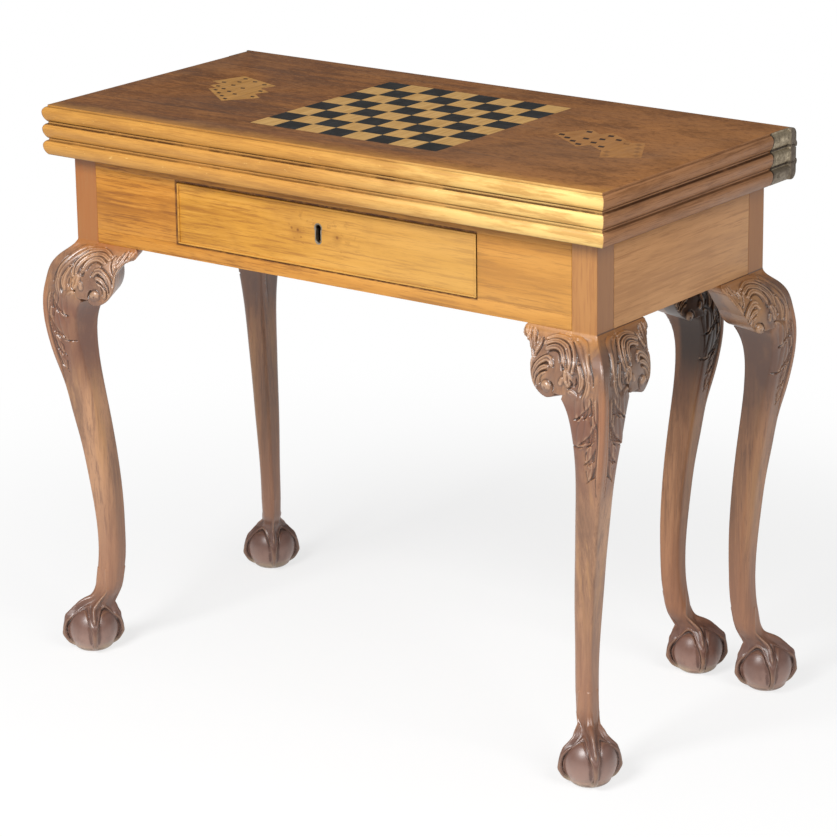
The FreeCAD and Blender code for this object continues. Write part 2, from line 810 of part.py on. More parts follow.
def drawer_parts():
    """The drawer's own pieces, with its beads, keyhole and lock."""
    parts = {}
    front = block(-drawer_half, drawer_half, front_face, drawer_front_back, drawer_low, drawer_high)
    bead_back = front_face + bead_depth
    cuts = ring(bead_width, front_face - overrun, bead_back)
    cuts.append(keyhole(escutcheon_wall, front_face - overrun, front_face + escutcheon_depth))
    cuts.append(keyhole(0, front_face, drawer_front_back))
    cuts += [lock_recess(), lock_bolt(slide_clearance), drawer_bottom(screw_fit)] + lock_screws(screw_fit)
    parts["drawer_front"] = front.cut(cuts)
    for name, side in (("drawer_left_side", -1), ("drawer_right_side", 1)):
        wall = block(side * drawer_half, side * (drawer_half - drawer_side_thickness),
                     drawer_front_back, drawer_end, drawer_side_low, drawer_side_high)
        parts[name] = wall.cut(drawer_bottom(screw_fit))
    inner = drawer_half - drawer_side_thickness
    parts["drawer_back"] = block(-inner, inner, drawer_end - drawer_side_thickness, drawer_end,
                                 drawer_bottom_high + screw_fit, drawer_side_high)
    parts["drawer_bottom"] = drawer_bottom()
    parts["drawer_cock_beads"] = Part.Compound(ring(bead_width, front_face - bead_projection, bead_back))
    liner = keyhole(escutcheon_wall, front_face, front_face + escutcheon_depth)
    parts["keyhole_escutcheon"] = liner.cut(keyhole(0, front_face, front_face + escutcheon_depth))
    case = lock_recess().cut([lock_bolt(slide_clearance)] + lock_screws(screw_fit))
    parts["lock_case"] = case.cut(keyhole(0, drawer_front_back - lock_depth, drawer_front_back))
    parts["lock_bolt"] = lock_bolt()
    parts["lock_screws"] = Part.Compound(lock_screws())
    return parts


def drawer_ways():
    """Runners, guides, kickers and stops that carry and hold the drawer."""
    runners = []
    guides = []
    kickers = []
    stops = []
    for side in (-1, 1):
        runners.append(block(side * (half_opening - runner_width), side * (half_opening + guide_width),
                             front_rail_back, back_rail_front, opening_low - runner_height, opening_low))
        guides.append(block(side * half_opening, side * (half_opening + guide_width),
                            front_face + front_panel_thickness, back_rail_front,
                            opening_low, opening_low + guide_height))
        kicker = block(side * (half_opening - kicker_width), side * half_opening,
                       front_rail_back, back_rail_front, opening_high, frame_top)
        kickers.append(kicker.cut(fixing_screws(screw_fit)))
        stop_front = drawer_front_back + slide_clearance
        stops.append(block(side * stop_place - stop_width / 2, side * stop_place + stop_width / 2,
                           stop_front, stop_front + stop_depth, opening_low, opening_low + stop_height))
    return {
        "drawer_runners": Part.Compound(runners),
        "drawer_guides": Part.Compound(guides),
        "drawer_kickers": Part.Compound(kickers),
        "drawer_stops": Part.Compound(stops),
    }


# Sub-assemblies


def leg_nodes():
    """Five legs and their knee blocks."""
    parts = {}
    front_form = (front_ear_outline_shares, front_ear_face_share, front_ear_bevel_share)
    back_form = (back_ear_outline_shares, back_ear_face_share, back_ear_bevel_share)
    front_leg = leg(front_rake_x, front_rake_y, front_bend_share, front_leg_share, frame_top)
    front_ear = knee_block(front_leg, *front_form)
    turned_ear = side_ear(knee_block(side_ear(front_leg), *front_form))
    back_leg = leg(back_rake_x, back_rake_y, back_bend_share, back_leg_share, frame_top)
    back_ear = side_ear(knee_block(side_ear(back_leg), *back_form))
    swing_leg = leg(back_rake_x, back_rake_y, back_bend_share, gate_leg_share, gate_top)
    swing_ear = side_ear(knee_block(side_ear(swing_leg), *back_form))
    for name, right in (("left", False), ("right", True)):
        parts[f"front_{name}_leg"] = set_leg(front_leg, right, False)
        parts[f"front_{name}_knee_block_front"] = set_leg(front_ear, right, False)
        parts[f"front_{name}_knee_block_side"] = set_leg(turned_ear, right, False)
        parts[f"back_{name}_leg"] = set_leg(back_leg, right, True)
        parts[f"back_{name}_knee_block"] = set_leg(back_ear, right, True)
    parts["gate_leg"] = set_gate(swing_leg)
    parts["gate_knee_block"] = set_gate(swing_ear.common(leg_space(gate_clearance)))
    return parts


def leg_space(drop):
    """Space under the frieze, a little lower than the rails, in a leg's own frame."""
    reach = stile_size + ear_length + knee_reach
    return block(-2 * reach, reach, -2 * reach, reach, 0, frieze_bottom - drop)


def frame_nodes():
    """Rails, blocks and the knuckle joint."""
    parts = front_rails()
    parts["left_side_rail"] = side_rail(-1)
    parts["right_side_rail"] = side_rail(1)
    inner = half_frame_width - side_rail_thickness
    back_rail = block(-inner, inner, back_rail_front, back_rail_face, frieze_bottom, frame_top)
    parts["inner_back_rail"] = back_rail
    parts["fixed_knuckle_rail"] = fixed_knuckle_rail()
    parts["fly_rail"] = fly_rail()
    parts["gate_hinge_pin"] = gate_pin()
    parts["corner_blocks"] = Part.Compound(corner_blocks())
    parts["top_fixing_screws"] = Part.Compound(fixing_screws())
    return parts


def leaf_nodes():
    """Three leaves with their baize and inlay."""
    parts = {}
    recess = baize_sheet(bottom_base + leaf_thickness, True, baize_recess)
    parts["bottom_leaf"] = leaf(bottom_base, round_low=True).cut([recess] + fixing_screws(screw_fit))
    parts["bottom_leaf_baize"] = baize_panel(bottom_base + leaf_thickness, True)
    parts["middle_leaf"] = leaf(middle_base).cut(baize_sheet(middle_base, False, baize_recess))
    parts["middle_leaf_baize"] = baize_panel(middle_base, False)
    dark, light = chess_squares()
    board = block(-board_size / 2, board_size / 2, -board_size / 2, board_size / 2,
                  table_height - inlay_thickness, table_height)
    left_cards, left_pips, left_pocket = card_group(left_card_place_shares, left_card_degrees)
    right_cards, right_pips, right_pocket = card_group(right_card_place_shares, right_card_degrees)
    parts["top_leaf"] = leaf(top_base, round_high=True).cut([board, left_pocket, right_pocket])
    parts["chessboard_dark_squares"] = Part.Compound(dark)
    parts["chessboard_light_squares"] = Part.Compound(light)
    parts["left_card_inlay"] = Part.Compound(left_cards)
    parts["right_card_inlay"] = Part.Compound(right_cards)
    parts["card_pips"] = Part.Compound(left_pips + right_pips)
    return parts


def hinge_nodes():
    """Hinge plates, pins and screws of both ends."""
    parts = {}
    both = [upper_pivot_z, lower_pivot_z]
    for name, side in (("left", -1), ("right", 1)):
        top = hinge_plate(side, top_base, both[:1], True, round_high=True)
        bottom = hinge_plate(side, bottom_base, both[1:], True, round_low=True)
        parts[f"top_{name}_hinge_plate"] = top
        parts[f"middle_{name}_hinge_plate"] = hinge_plate(side, middle_base, both, False)
        parts[f"bottom_{name}_hinge_plate"] = bottom
    parts["upper_hinge_pins"] = Part.Compound(hinge_pins(upper_pivot_z))
    parts["lower_hinge_pins"] = Part.Compound(hinge_pins(lower_pivot_z))
    for name, base in (("top", top_base), ("middle", middle_base), ("bottom", bottom_base)):
        parts[f"{name}_hinge_screws"] = Part.Compound(hinge_screw_set(base))
    return parts


def main():
    """Write every piece as its own file."""
    os.makedirs("parts", exist_ok=True)
    parts = {}
    for group in (leg_nodes, frame_nodes, drawer_parts, drawer_ways, leaf_nodes, hinge_nodes):
        parts.update(group())
    for name, shape in parts.items():
        shape.exportStep(os.path.join("parts", name + ".step"))
        print(name, len(shape.Solids), round(shape.Volume), shape.isValid())


main()
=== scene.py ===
import logging
import math
from dataclasses import dataclass, replace
from enum import Enum
from typing import Iterable, Optional, Union

import bpy
import numpy as np
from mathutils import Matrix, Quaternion, Vector


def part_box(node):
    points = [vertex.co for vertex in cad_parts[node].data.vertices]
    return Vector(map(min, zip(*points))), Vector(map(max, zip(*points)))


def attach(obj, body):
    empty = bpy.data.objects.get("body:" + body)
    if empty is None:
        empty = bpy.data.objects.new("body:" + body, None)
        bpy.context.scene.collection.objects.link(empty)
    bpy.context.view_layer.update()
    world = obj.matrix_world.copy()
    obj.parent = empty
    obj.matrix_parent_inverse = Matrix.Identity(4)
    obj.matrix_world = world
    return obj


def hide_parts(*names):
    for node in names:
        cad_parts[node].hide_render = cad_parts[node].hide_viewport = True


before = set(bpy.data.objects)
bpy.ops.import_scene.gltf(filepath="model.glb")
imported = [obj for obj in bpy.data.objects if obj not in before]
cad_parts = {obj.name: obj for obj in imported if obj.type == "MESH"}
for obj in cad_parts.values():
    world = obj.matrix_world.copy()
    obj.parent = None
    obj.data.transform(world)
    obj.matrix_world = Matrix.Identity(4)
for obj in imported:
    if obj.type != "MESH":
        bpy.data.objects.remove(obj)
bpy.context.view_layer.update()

LOG = logging.getLogger("games_table")
MM = 0.001
Pair = tuple[float, float]
Triple = tuple[float, float, float]
Points = tuple[Pair, ...]
Colour = tuple[float, float, float, float]
Socket = bpy.types.NodeSocket
Value = Union[Socket, float, Colour, Triple]


class Grain(Enum):
    """Axis that a board's fibres run along, as the stretch of a pattern on each axis."""

    ALONG_X = (0.05, 1.0, 1.0)
    ALONG_Y = (1.0, 0.05, 1.0)
    ALONG_Z = (1.0, 1.0, 0.05)


class Hold(Enum):
    """Ways in which a sheet of cloth is held."""

    LAID = "laid"


@dataclass(frozen=True)
class Pattern:
    """Soft noise on a piece's own coordinates, stretched and shifted on each axis.

    The scale is in patches to a metre, detail counts the finer octaves, and swirl bends the patches.
    """

    scale: float
    detail: float = 4.0
    roughness: float = 0.55
    swirl: float = 0.0
    stretch: Triple = (1.0, 1.0, 1.0)
    shift: Triple = (0.0, 0.0, 0.0)

    def along(self, grain: Grain) -> "Pattern":
        """The same noise drawn out along a board's fibres."""
        return replace(self, stretch=grain.value)


@dataclass(frozen=True)
class Fade:
    """Smooth change of a share: least where a measure is at start, most where it is at full."""

    start: float
    full: float
    most: float = 1.0
    least: float = 0.0

    def up_to(self, most: float) -> "Fade":
        """The same change up to another share."""
        return replace(self, most=most)


Layer = tuple[Pattern, Fade]
Part = Union[Socket, tuple[Value, Fade], Layer]


class Bench:
    """Node tree of one material, with a short call for each kind of node that the finishes share."""

    def __init__(self, name: str) -> None:
        """Starts a material that holds a shader and the piece's own coordinates."""
        self.material = bpy.data.materials.new(name)
        self.material.use_nodes = True
        self.tree = self.material.node_tree
        self.shader = self.tree.nodes["Principled BSDF"]
        self.place = self.node("ShaderNodeTexCoord").outputs["Object"]

    def node(self, kind: str, **settings: object) -> bpy.types.Node:
        """Adds a node.

        Args:
            kind: Blender's name of the node type.
            settings: Properties to set on the node.

        Returns:
            The new node.
        """
        node = self.tree.nodes.new(kind)
        for name, value in settings.items():
            setattr(node, name, value)
        return node

    def feed(self, value: Value, socket: Socket) -> None:
        """Links a socket to another, or sets it to a constant."""
        if isinstance(value, bpy.types.NodeSocket):
            self.tree.links.new(value, socket)
        else:
            socket.default_value = value

    def mapped(self, stretch: Triple, shift: Triple = (0.0, 0.0, 0.0)) -> Socket:
        """The piece's coordinates moved and stretched.

        Args:
            stretch: Stretch on each axis.
            shift: Shift on each axis, in metres.

        Returns:
            The stretched coordinates.
        """
        node = self.node("ShaderNodeMapping")
        self.feed(self.place, node.inputs["Vector"])
        node.inputs["Location"].default_value = shift
        node.inputs["Scale"].default_value = stretch
        return node.outputs["Vector"]

    def noise(self, pattern: Pattern) -> Socket:
        """Noise between 0 and 1.

        Args:
            pattern: Kind of noise.

        Returns:
            The noise value.
        """
        node = self.node("ShaderNodeTexNoise")
        self.feed(self.mapped(pattern.stretch, pattern.shift), node.inputs["Vector"])
        for name, value in (("Scale", pattern.scale), ("Detail", pattern.detail),
                            ("Roughness", pattern.roughness), ("Distortion", pattern.swirl)):
            node.inputs[name].default_value = value
        return node.outputs["Fac"]

    def span(self, measure: Union[Value, Pattern], fade: Fade) -> Socket:
        """Share that a measure gives.

        Args:
            measure: The measure, or the pattern whose noise is the measure.
            fade: How the share follows it.

        Returns:
            The share, held between its ends.
        """
        value = self.noise(measure) if isinstance(measure, Pattern) else measure
        node = self.node("ShaderNodeMapRange", interpolation_type="SMOOTHSTEP")
        for number, item in enumerate((value, fade.start, fade.full, fade.least, fade.most)):
            self.feed(item, node.inputs[number])
        return node.outputs["Result"]

    def sum(self, operation: str, first: Value, second: Value = 0.0) -> Socket:
        """One step of arithmetic.

        Args:
            operation: Blender's name of the operation.
            first: First number.
            second: Second number, where the operation has one.

        Returns:
            The result.
        """
        node = self.node("ShaderNodeMath", operation=operation)
        self.feed(first, node.inputs[0])
        self.feed(second, node.inputs[1])
        return node.outputs[0]

    def plus(self, first: Value, second: Value) -> Socket:
        """Two numbers together."""
        return self.sum("ADD", first, second)

    def less(self, first: Value, second: Value) -> Socket:
        """The first number less the second."""
        return self.sum("SUBTRACT", first, second)

    def times(self, first: Value, second: Value) -> Socket:
        """Product of two numbers."""
        return self.sum("MULTIPLY", first, second)

    def most(self, first: Value, second: Value) -> Socket:
        """The larger of two numbers."""
        return self.sum("MAXIMUM", first, second)

    def size(self, value: Value) -> Socket:
        """A number without its sign."""
        return self.sum("ABSOLUTE", value)

    def off(self, letter: str, place: float) -> Socket:
        """Distance from a place on one axis, in metres."""
        return self.size(self.less(self.axis(letter), place))

    def share(self, *parts: Part) -> Socket:
        """Product of shares.

        Args:
            parts: Shares, or measures with the change that turns them into shares.

        Returns:
            The product.
        """
        shares = [part if isinstance(part, bpy.types.NodeSocket) else self.span(*part) for part in parts]
        product = shares[0]
        for factor in shares[1:]:
            product = self.times(product, factor)
        return product

    def mix(self, share: Value, first: Value, second: Value) -> Socket:
        """Mixes two colours.

        Args:
            share: Share of the second colour.
            first: Colour at share 0.
            second: Colour at share 1.

        Returns:
            The mixed colour.
        """
        node = self.node("ShaderNodeMix", data_type="RGBA")
        self.feed(share, node.inputs[0])
        self.feed(first, node.inputs[6])
        self.feed(second, node.inputs[7])
        return node.outputs[2]

    def tint(self, colour: Value, tone: Value, *parts: Part) -> Socket:
        """Lays a tone over a colour.

        Args:
            colour: Colour underneath.
            tone: Colour on top.
            parts: Shares of the tone, or measures with the change that turns them into shares.

        Returns:
            The tinted colour.
        """
        return self.mix(self.share(*parts), colour, tone)

    def ramp(self, share: Socket, stops: Iterable[tuple[float, Colour]]) -> Socket:
        """Colour that changes along a ramp.

        Args:
            share: Place on the ramp.
            stops: Places and their colours.

        Returns:
            The colour at that place.
        """
        node = self.node("ShaderNodeValToRGB")
        places = list(stops)
        while len(node.color_ramp.elements) < len(places):
            node.color_ramp.elements.new(1.0)
        for element, (place, colour) in zip(node.color_ramp.elements, places):
            element.position = place
            element.color = colour
        self.feed(share, node.inputs["Fac"])
        return node.outputs["Color"]

    def axis(self, letter: str) -> Socket:
        """One of the piece's coordinates, in metres."""
        node = self.node("ShaderNodeSeparateXYZ")
        self.feed(self.place, node.inputs[0])
        return node.outputs[letter]

    def attribute(self, name: str) -> Socket:
        """A number that the mesh carries at each of its points."""
        return self.node("ShaderNodeAttribute", attribute_name=name).outputs["Fac"]

    def bump(self, height: Socket, depth: float, strength: float) -> None:
        """Roughens the surface.

        Args:
            height: Height between 0 and 1.
            depth: Height of 1, in metres.
            strength: Share of the slope that the light sees.
        """
        node = self.node("ShaderNodeBump")
        node.inputs["Strength"].default_value = strength
        node.inputs["Distance"].default_value = depth
        self.feed(height, node.inputs["Height"])
        self.feed(node.outputs["Normal"], self.shader.inputs["Normal"])

    def finish(self, colour: Value, roughness: Value, **constants: float) -> bpy.types.Material:
        """Connects the shader.

        Args:
            colour: Base colour.
            roughness: Roughness.
            constants: Other sockets of the shader, with underscores for spaces.

        Returns:
            The finished material.
        """
        self.feed(colour, self.shader.inputs["Base Color"])
        self.feed(roughness, self.shader.inputs["Roughness"])
        for name, value in constants.items():
            self.shader.inputs[name.replace("_", " ")].default_value = value
        return self.material


def shade(red: float, green: float, blue: float) -> Colour:
    """An opaque colour in linear light."""
    return (red, green, blue, 1.0)


FIGURE = Pattern(26.0, 5.0, 0.6, 0.7)


@dataclass(frozen=True)
class WoodFinish:
    """Waxed hardwood with bands of figure, fibres, pores and stained patches."""

    name: str
    grain: Grain
    dark: Colour
    middle: Colour
    light: Colour
    stain: Colour
    figure: Pattern = FIGURE
    stain_share: float = 0.35
    fibre_share: float = 0.4
    roughness: float = 0.46
    glare: float = 0.28
    spread: float = 0.11
    fibres: Pattern = Pattern(210.0, 5.0, 0.70, 0.15)
    fibre_stain: Fade = Fade(0.49, 0.64)
    fibre_light: Fade = Fade(0.47, 0.36, 0.5)
    fibre_depth: float = 0.35 * MM
    fibre_slope: float = 0.22
    pores: Pattern = Pattern(800.0, 2.0, 0.5)
    pore_stain: Fade = Fade(0.57, 0.70, 0.5)
    patches: Pattern = Pattern(9.0, 5.0, 0.6, 0.4)
    patch_stain: Fade = Fade(0.48, 0.74)
    figure_range: Pair = (0.2, 0.8)
    shinier: float = 0.05
    duller: float = 0.08

    def wear(self, bench: Bench, colour: Socket) -> Socket:
        """Colour after use; plain wood stays as it is."""
        return colour

    def gloss(self, bench: Bench, bands: Socket) -> Socket:
        """Roughness that follows the figure."""
        fade = Fade(*self.figure_range, self.roughness + self.duller, self.roughness - self.shinier)
        return bench.span(bands, fade)

    def material(self) -> bpy.types.Material:
        """Builds the node material.

        Returns:
            The finished material.
        """
        bench = Bench(self.name)
        bands = bench.noise(self.figure.along(self.grain))
        stops = ((0.5 - self.spread, self.dark), (0.5, self.middle), (0.5 + self.spread, self.light))
        colour = bench.ramp(bands, stops)
        fibres = bench.noise(self.fibres.along(self.grain))
        colour = bench.tint(colour, self.stain, (fibres, self.fibre_stain.up_to(self.fibre_share)))
        colour = bench.tint(colour, self.light, (fibres, self.fibre_light))
        pores = bench.noise(self.pores.along(self.grain))
        colour = bench.tint(colour, self.stain, (pores, self.pore_stain))
        patches = bench.noise(self.patches)
        colour = bench.tint(colour, self.stain, (patches, self.patch_stain.up_to(self.stain_share)))
        colour = self.wear(bench, colour)
        bench.bump(fibres, self.fibre_depth, self.fibre_slope)
        return bench.finish(colour, self.gloss(bench, bands), Specular_IOR_Level=self.glare)


@dataclass(frozen=True)
class LeafFinish(WoodFinish):
    """Leaf of the top: dark in the middle, rubbed bare and golden along its front edge, brown at its ends.

    Each of the quirks is a line of painted shade along the moulding, as its height, its half width and its
    share of that shade.
    """

    worn: Colour = shade(0.56, 0.272, 0.059)
    amber: Colour = shade(0.38, 0.17, 0.038)
    bleached: Colour = shade(0.87, 0.59, 0.205)
    end_wood: Colour = shade(0.33, 0.155, 0.068)
    faded: Colour = shade(0.33, 0.145, 0.048)
    # painted shade: near black for the quirks and the partings between the leaves
    quirk_shade: Colour = shade(0.060, 0.022, 0.007)
    quirks: tuple[Triple, ...] = ()
    quirk_core: float = 0.3
    front: float = -0.2143
    end: float = 0.4418
    mitre: Fade = Fade(-0.0010, 0.0003)
    to_right: Fade = Fade(-0.15, 0.45, 0.6)
    clouds: Layer = (Pattern(17.0, 6.0, 0.66, 0.5, (0.7, 1.0, 1.0)), Fade(0.45, 0.64, 0.50))
    haze: Layer = (Pattern(12.0, 6.0, 0.68, 0.3, (0.6, 1.0, 1.0), (0.3, 0.1, 0.0)), Fade(0.48, 0.68, 0.45))
    speckle: Pattern = Pattern(330.0, 3.0, 0.6, stretch=(0.4, 1.0, 1.0))
    speckle_stain: Fade = Fade(0.52, 0.66, 0.5)
    speckle_faded: Fade = Fade(0.47, 0.34, 0.45)
    ragged: Layer = (Pattern(60.0, 4.0, 0.6, stretch=(0.6, 1.0, 1.0)), Fade(0.3, 0.7, 0.006, -0.006))
    near_front: Fade = Fade(-0.034, -0.002, 0.34)
    broken: Layer = (Pattern(26.0, 4.0, 0.6, stretch=(1.0, 1.0, 0.2)), Fade(0.34, 0.52, 1.0, 0.55))
    edge_blotches: Pattern = Pattern(90.0, 5.0, 0.65, stretch=(0.12, 1.0, 1.0))
    blotch_amber: Fade = Fade(0.44, 0.64, 0.6)
    edge_fibres: Layer = (Pattern(800.0, 3.0, 0.65, stretch=(0.03, 1.0, 1.0)), Fade(0.48, 0.66, 0.65))
    edge_to_right: Fade = Fade(-0.05, 0.42)
    blotch_pale: Fade = Fade(0.62, 0.40, 1.0, 0.35)
    chips: Layer = (Pattern(230.0, 4.0, 0.7, stretch=(0.35, 1.0, 1.0)), Fade(0.64, 0.74, 0.7))
    end_fibres: Layer = (Pattern(700.0, 3.0, 0.65, stretch=(1.0, 0.03, 1.0)), Fade(0.48, 0.66, 0.55))
    end_blotches: Layer = (Pattern(50.0, 5.0, 0.62, stretch=(1.0, 0.25, 1.0)), Fade(0.48, 0.68, 0.45))

    def wear(self, bench: Bench, colour: Socket) -> Socket:
        """Lightens the handled front edge and paints shade along the lines of the moulding.

        Args:
            bench: Node tree to add to.
            colour: Colour of the wood.

        Returns:
            The worn colour.
        """
        across = bench.axis("X")
        past_end = bench.less(bench.size(across), self.end)
        past_front = bench.less(self.front, bench.axis("Y"))
        reach = bench.plus(past_front, bench.span(*self.ragged))
        colour = bench.tint(colour, self.faded, (across, self.to_right))
        colour = bench.tint(colour, self.stain, self.clouds)
        colour = bench.tint(colour, self.faded, self.haze)
        speckle = bench.noise(self.speckle)
        colour = bench.tint(colour, self.stain, (speckle, self.speckle_stain))
        colour = bench.tint(colour, self.faded, (speckle, self.speckle_faded))
        colour = bench.tint(colour, self.worn, (reach, self.near_front))
        on_front = self.beyond(bench, past_front, past_end)
        on_end = self.beyond(bench, past_end, past_front)
        colour = bench.mix(on_front, colour, self.edge(bench, across))
        colour = bench.mix(on_end, colour, self.end_grain(bench))
        held = bench.share(bench.most(on_front, on_end), self.broken)
        # painted shade in the quirks and partings of the moulding
        for level, half_width, share in self.quirks:
            dirt_and_shade = Fade(half_width, self.quirk_core * half_width, share)
            colour = bench.tint(colour, self.quirk_shade, (bench.off("Z", level), dirt_and_shade), held)
        return colour

    def beyond(self, bench: Bench, past: Socket, other: Socket) -> Socket:
        """Share of a point on one side's moulding, up to the mitre with the other side's."""
        return bench.span(bench.less(past, bench.most(other, 0.0)), self.mitre)

    def edge(self, bench: Bench, across: Socket) -> Socket:
        """Colour of the rubbed front edge, which is palest at the right.

        Args:
            bench: Node tree to add to.
            across: Place along the edge.

        Returns:
            The edge's colour.
        """
        blotches = bench.noise(self.edge_blotches)
        colour = bench.tint(self.worn, self.amber, (blotches, self.blotch_amber))
        colour = bench.tint(colour, self.amber, self.edge_fibres)
        colour = bench.tint(colour, self.bleached, (across, self.edge_to_right), (blotches, self.blotch_pale))
        return bench.tint(colour, self.bleached, self.chips)

    def end_grain(self, bench: Bench) -> Socket:
        """Colour of the brown ends."""
        colour = bench.tint(self.end_wood, self.stain, self.end_fibres)
        return bench.tint(colour, self.dark, self.end_blotches)


@dataclass(frozen=True)
class CarvedFinish(WoodFinish):
    """Leg wood: golden at the stile, taupe on the shank, red on the knee, dark in the cuts and on the foot,
    with painted light on the side faces, painted shade under the top and in the cuts, a painted highlight on
    proud carving and a painted reflection of the floor low on the ball.

    A fade named for a place on the leg runs over the height above the floor, in metres.
    """

    stain_share: float = 0.5
    roughness: float = 0.34
    stile: Colour = shade(0.465, 0.205, 0.042)
    stile_left: Colour = shade(0.340, 0.098, 0.002)
    stile_grain: Colour = shade(0.335, 0.125, 0.020)
    # painted shade: darker tone of the stile's side face
    stile_side_shade: Colour = shade(0.232, 0.082, 0.015)
    # painted light on a side ear: dark on the front and swing legs, golden on the back legs
    side_ear_painted_light: Colour = shade(0.092, 0.047, 0.028)
    ridge: Colour = shade(0.36, 0.142, 0.050)
    knee: Colour = shade(0.165, 0.056, 0.024)
    ear: Colour = shade(0.170, 0.097, 0.068)
    golden: Colour = shade(0.47, 0.235, 0.085)
    ankle: Colour = shade(0.285, 0.122, 0.064)
    # grime and painted shade, in the cuts, under the top and at the seam
    dirt_and_shade: Colour = shade(0.045, 0.020, 0.011)
    # worn wood and painted highlight on proud carving
    rubbed_and_sheen: Colour = shade(0.56, 0.34, 0.20)
    # ball low down, pale with a painted reflection of the floor; crown is the darker top
    foot: Colour = shade(0.345, 0.205, 0.162)
    crown: Colour = shade(0.160, 0.087, 0.071)
    claw: Colour = shade(0.118, 0.052, 0.037)
    sole: Colour = shade(0.46, 0.36, 0.25)
    half_width: float = 0.419
    half_depth: float = 0.191
    side_mitre: Fade = Fade(-0.0008, 0.0008)
    side_depth: Fade = Fade(-0.008, -0.001)
    streaks: Pattern = Pattern(42.0, 4.0, 0.6, 0.3, (1.0, 1.0, 0.07))
    streak_gold: Fade = Fade(0.50, 0.66, 0.6)
    over_ankle: Fade = Fade(0.11, 0.27, 1.0, 0.1)
    lower_shank: Fade = Fade(0.27, 0.10, 0.6)
    mottle: Pattern = Pattern(34.0, 5.0, 0.62, 0.3, (1.0, 1.0, 0.5))
    over_shank: Fade = Fade(0.35, 0.44)
    under_ear: Fade = Fade(0.520, 0.492)
    knee_red: Fade = Fade(0.36, 0.60, 1.0, 0.72)
    knee_spots: Fade = Fade(0.48, 0.70, 0.40)
    ear_bottom: Fade = Fade(0.485, 0.515)
    ear_top: Fade = Fade(0.575, 0.560)
    ear_grey: Fade = Fade(0.40, 0.60, 0.75, 0.25)
    ear_share: float = 0.62
    ear_low: float = 0.43
    ear_rise: float = 0.06
    ear_start: float = 0.30
    ear_edge: float = 0.006
    knee_start: float = 0.0
    knee_edge: float = 0.005
    over_knee: Fade = Fade(0.495, 0.505)
    rib_share: float = 0.6
    on_stile: Fade = Fade(0.5635, 0.5805, 0.95)
    to_left: Fade = Fade(0.05, -0.05)
    streak_grain: Fade = Fade(0.40, 0.62, 0.5)
    lines: Layer = (Pattern(260.0, 4.0, 0.66, stretch=(1.0, 1.0, 0.06)), Fade(0.49, 0.64, 0.7))
    stile_side_share: float = 0.75
    # painted shade under the overhanging top
    shade_under_top: Fade = Fade(0.684, 0.697, 0.7)
    seam: Fade = Fade(0.0013, 0.00039, 0.75)
    on_foot: Fade = Fade(0.100, 0.052, 0.9)
    up_ball_reflection: Fade = Fade(0.010, 0.046)
    ball_spots: Fade = Fade(0.46, 0.66, 0.45)
    claw_relief: Fade = Fade(0.52, 0.62)
    over_ball: Fade = Fade(0.050, 0.066)
    proud: Fade = Fade(0.62, 0.92, 0.45)
    over_foot: Fade = Fade(0.07, 0.13, 1.0, 0.50)
    sunk: Fade = Fade(0.47, 0.12, 0.95)
    caked: Fade = Fade(0.36, 0.60, 0.95, 0.55)
    near_floor: Fade = Fade(0.016, 0.004)
    scraped: Fade = Fade(0.40, 0.58, 0.75, 0.2)
    foot_gloss: Pair = (0.05, 0.13)
    foot_roughness: float = 0.37
    stile_duller: float = 0.12

    def wear(self, bench: Bench, colour: Socket) -> Socket:
        """Colours the leg down its height and its carving by depth, with painted light and shade among the
        wood's own tones.

        Args:
            bench: Node tree to add to.
            colour: Colour of the wood.

        Returns:
            The worn colour.
        """
        height = bench.axis("Z")
        relief = bench.attribute("relief")
        streaks = bench.noise(self.streaks)
        mottle = bench.noise(self.mottle)
        side = self.side(bench)
        colour = bench.tint(colour, self.golden, (streaks, self.streak_gold), (height, self.over_ankle))
        colour = bench.tint(colour, self.ankle, (height, self.lower_shank))
        colour = bench.tint(colour, self.knee, (height, self.over_shank), (height, self.under_ear),
                            (mottle, self.knee_red))
        colour = bench.tint(colour, self.ear, (height, self.ear_bottom), (height, self.ear_top),
                            (mottle, self.ear_grey))
        colour = bench.tint(colour, self.knee, (height, self.over_shank), (mottle, self.knee_spots))
        # painted light: a side ear takes its own tone, set by which face it is on
        colour = bench.tint(colour, self.side_ear_painted_light, *self.on_side_ear(bench, height, side))
        colour = bench.mix(bench.times(bench.attribute("rib"), self.rib_share), colour, self.ridge)
        colour = bench.tint(colour, self.stile_wood(bench, streaks, side), (height, self.on_stile))
        # painted shade under the overhanging top
        colour = bench.tint(colour, self.dirt_and_shade, (height, self.shade_under_top))
        colour = bench.tint(colour, self.dirt_and_shade, side, (bench.off("Z", self.on_stile.full), self.seam))
        colour = bench.tint(colour, self.foot_wood(bench, height, mottle, relief), (height, self.on_foot))
        # wear and painted highlight on proud carving
        colour = bench.tint(colour, self.rubbed_and_sheen, (relief, self.proud), (height, self.over_foot))
        # grime and painted shade in the cuts
        colour = bench.tint(colour, self.dirt_and_shade, (relief, self.sunk), (mottle, self.caked))
        return bench.tint(colour, self.sole, (height, self.near_floor), (mottle, self.scraped))

    def side(self, bench: Bench) -> Socket:
        """Share of a point on a leg's side face, up to the mitre with its front or back face."""
        past_end = bench.less(bench.size(bench.axis("X")), self.half_width)
        past_front = bench.less(bench.size(bench.axis("Y")), self.half_depth)
        return bench.share((bench.less(past_end, past_front), self.side_mitre), (past_end, self.side_depth))

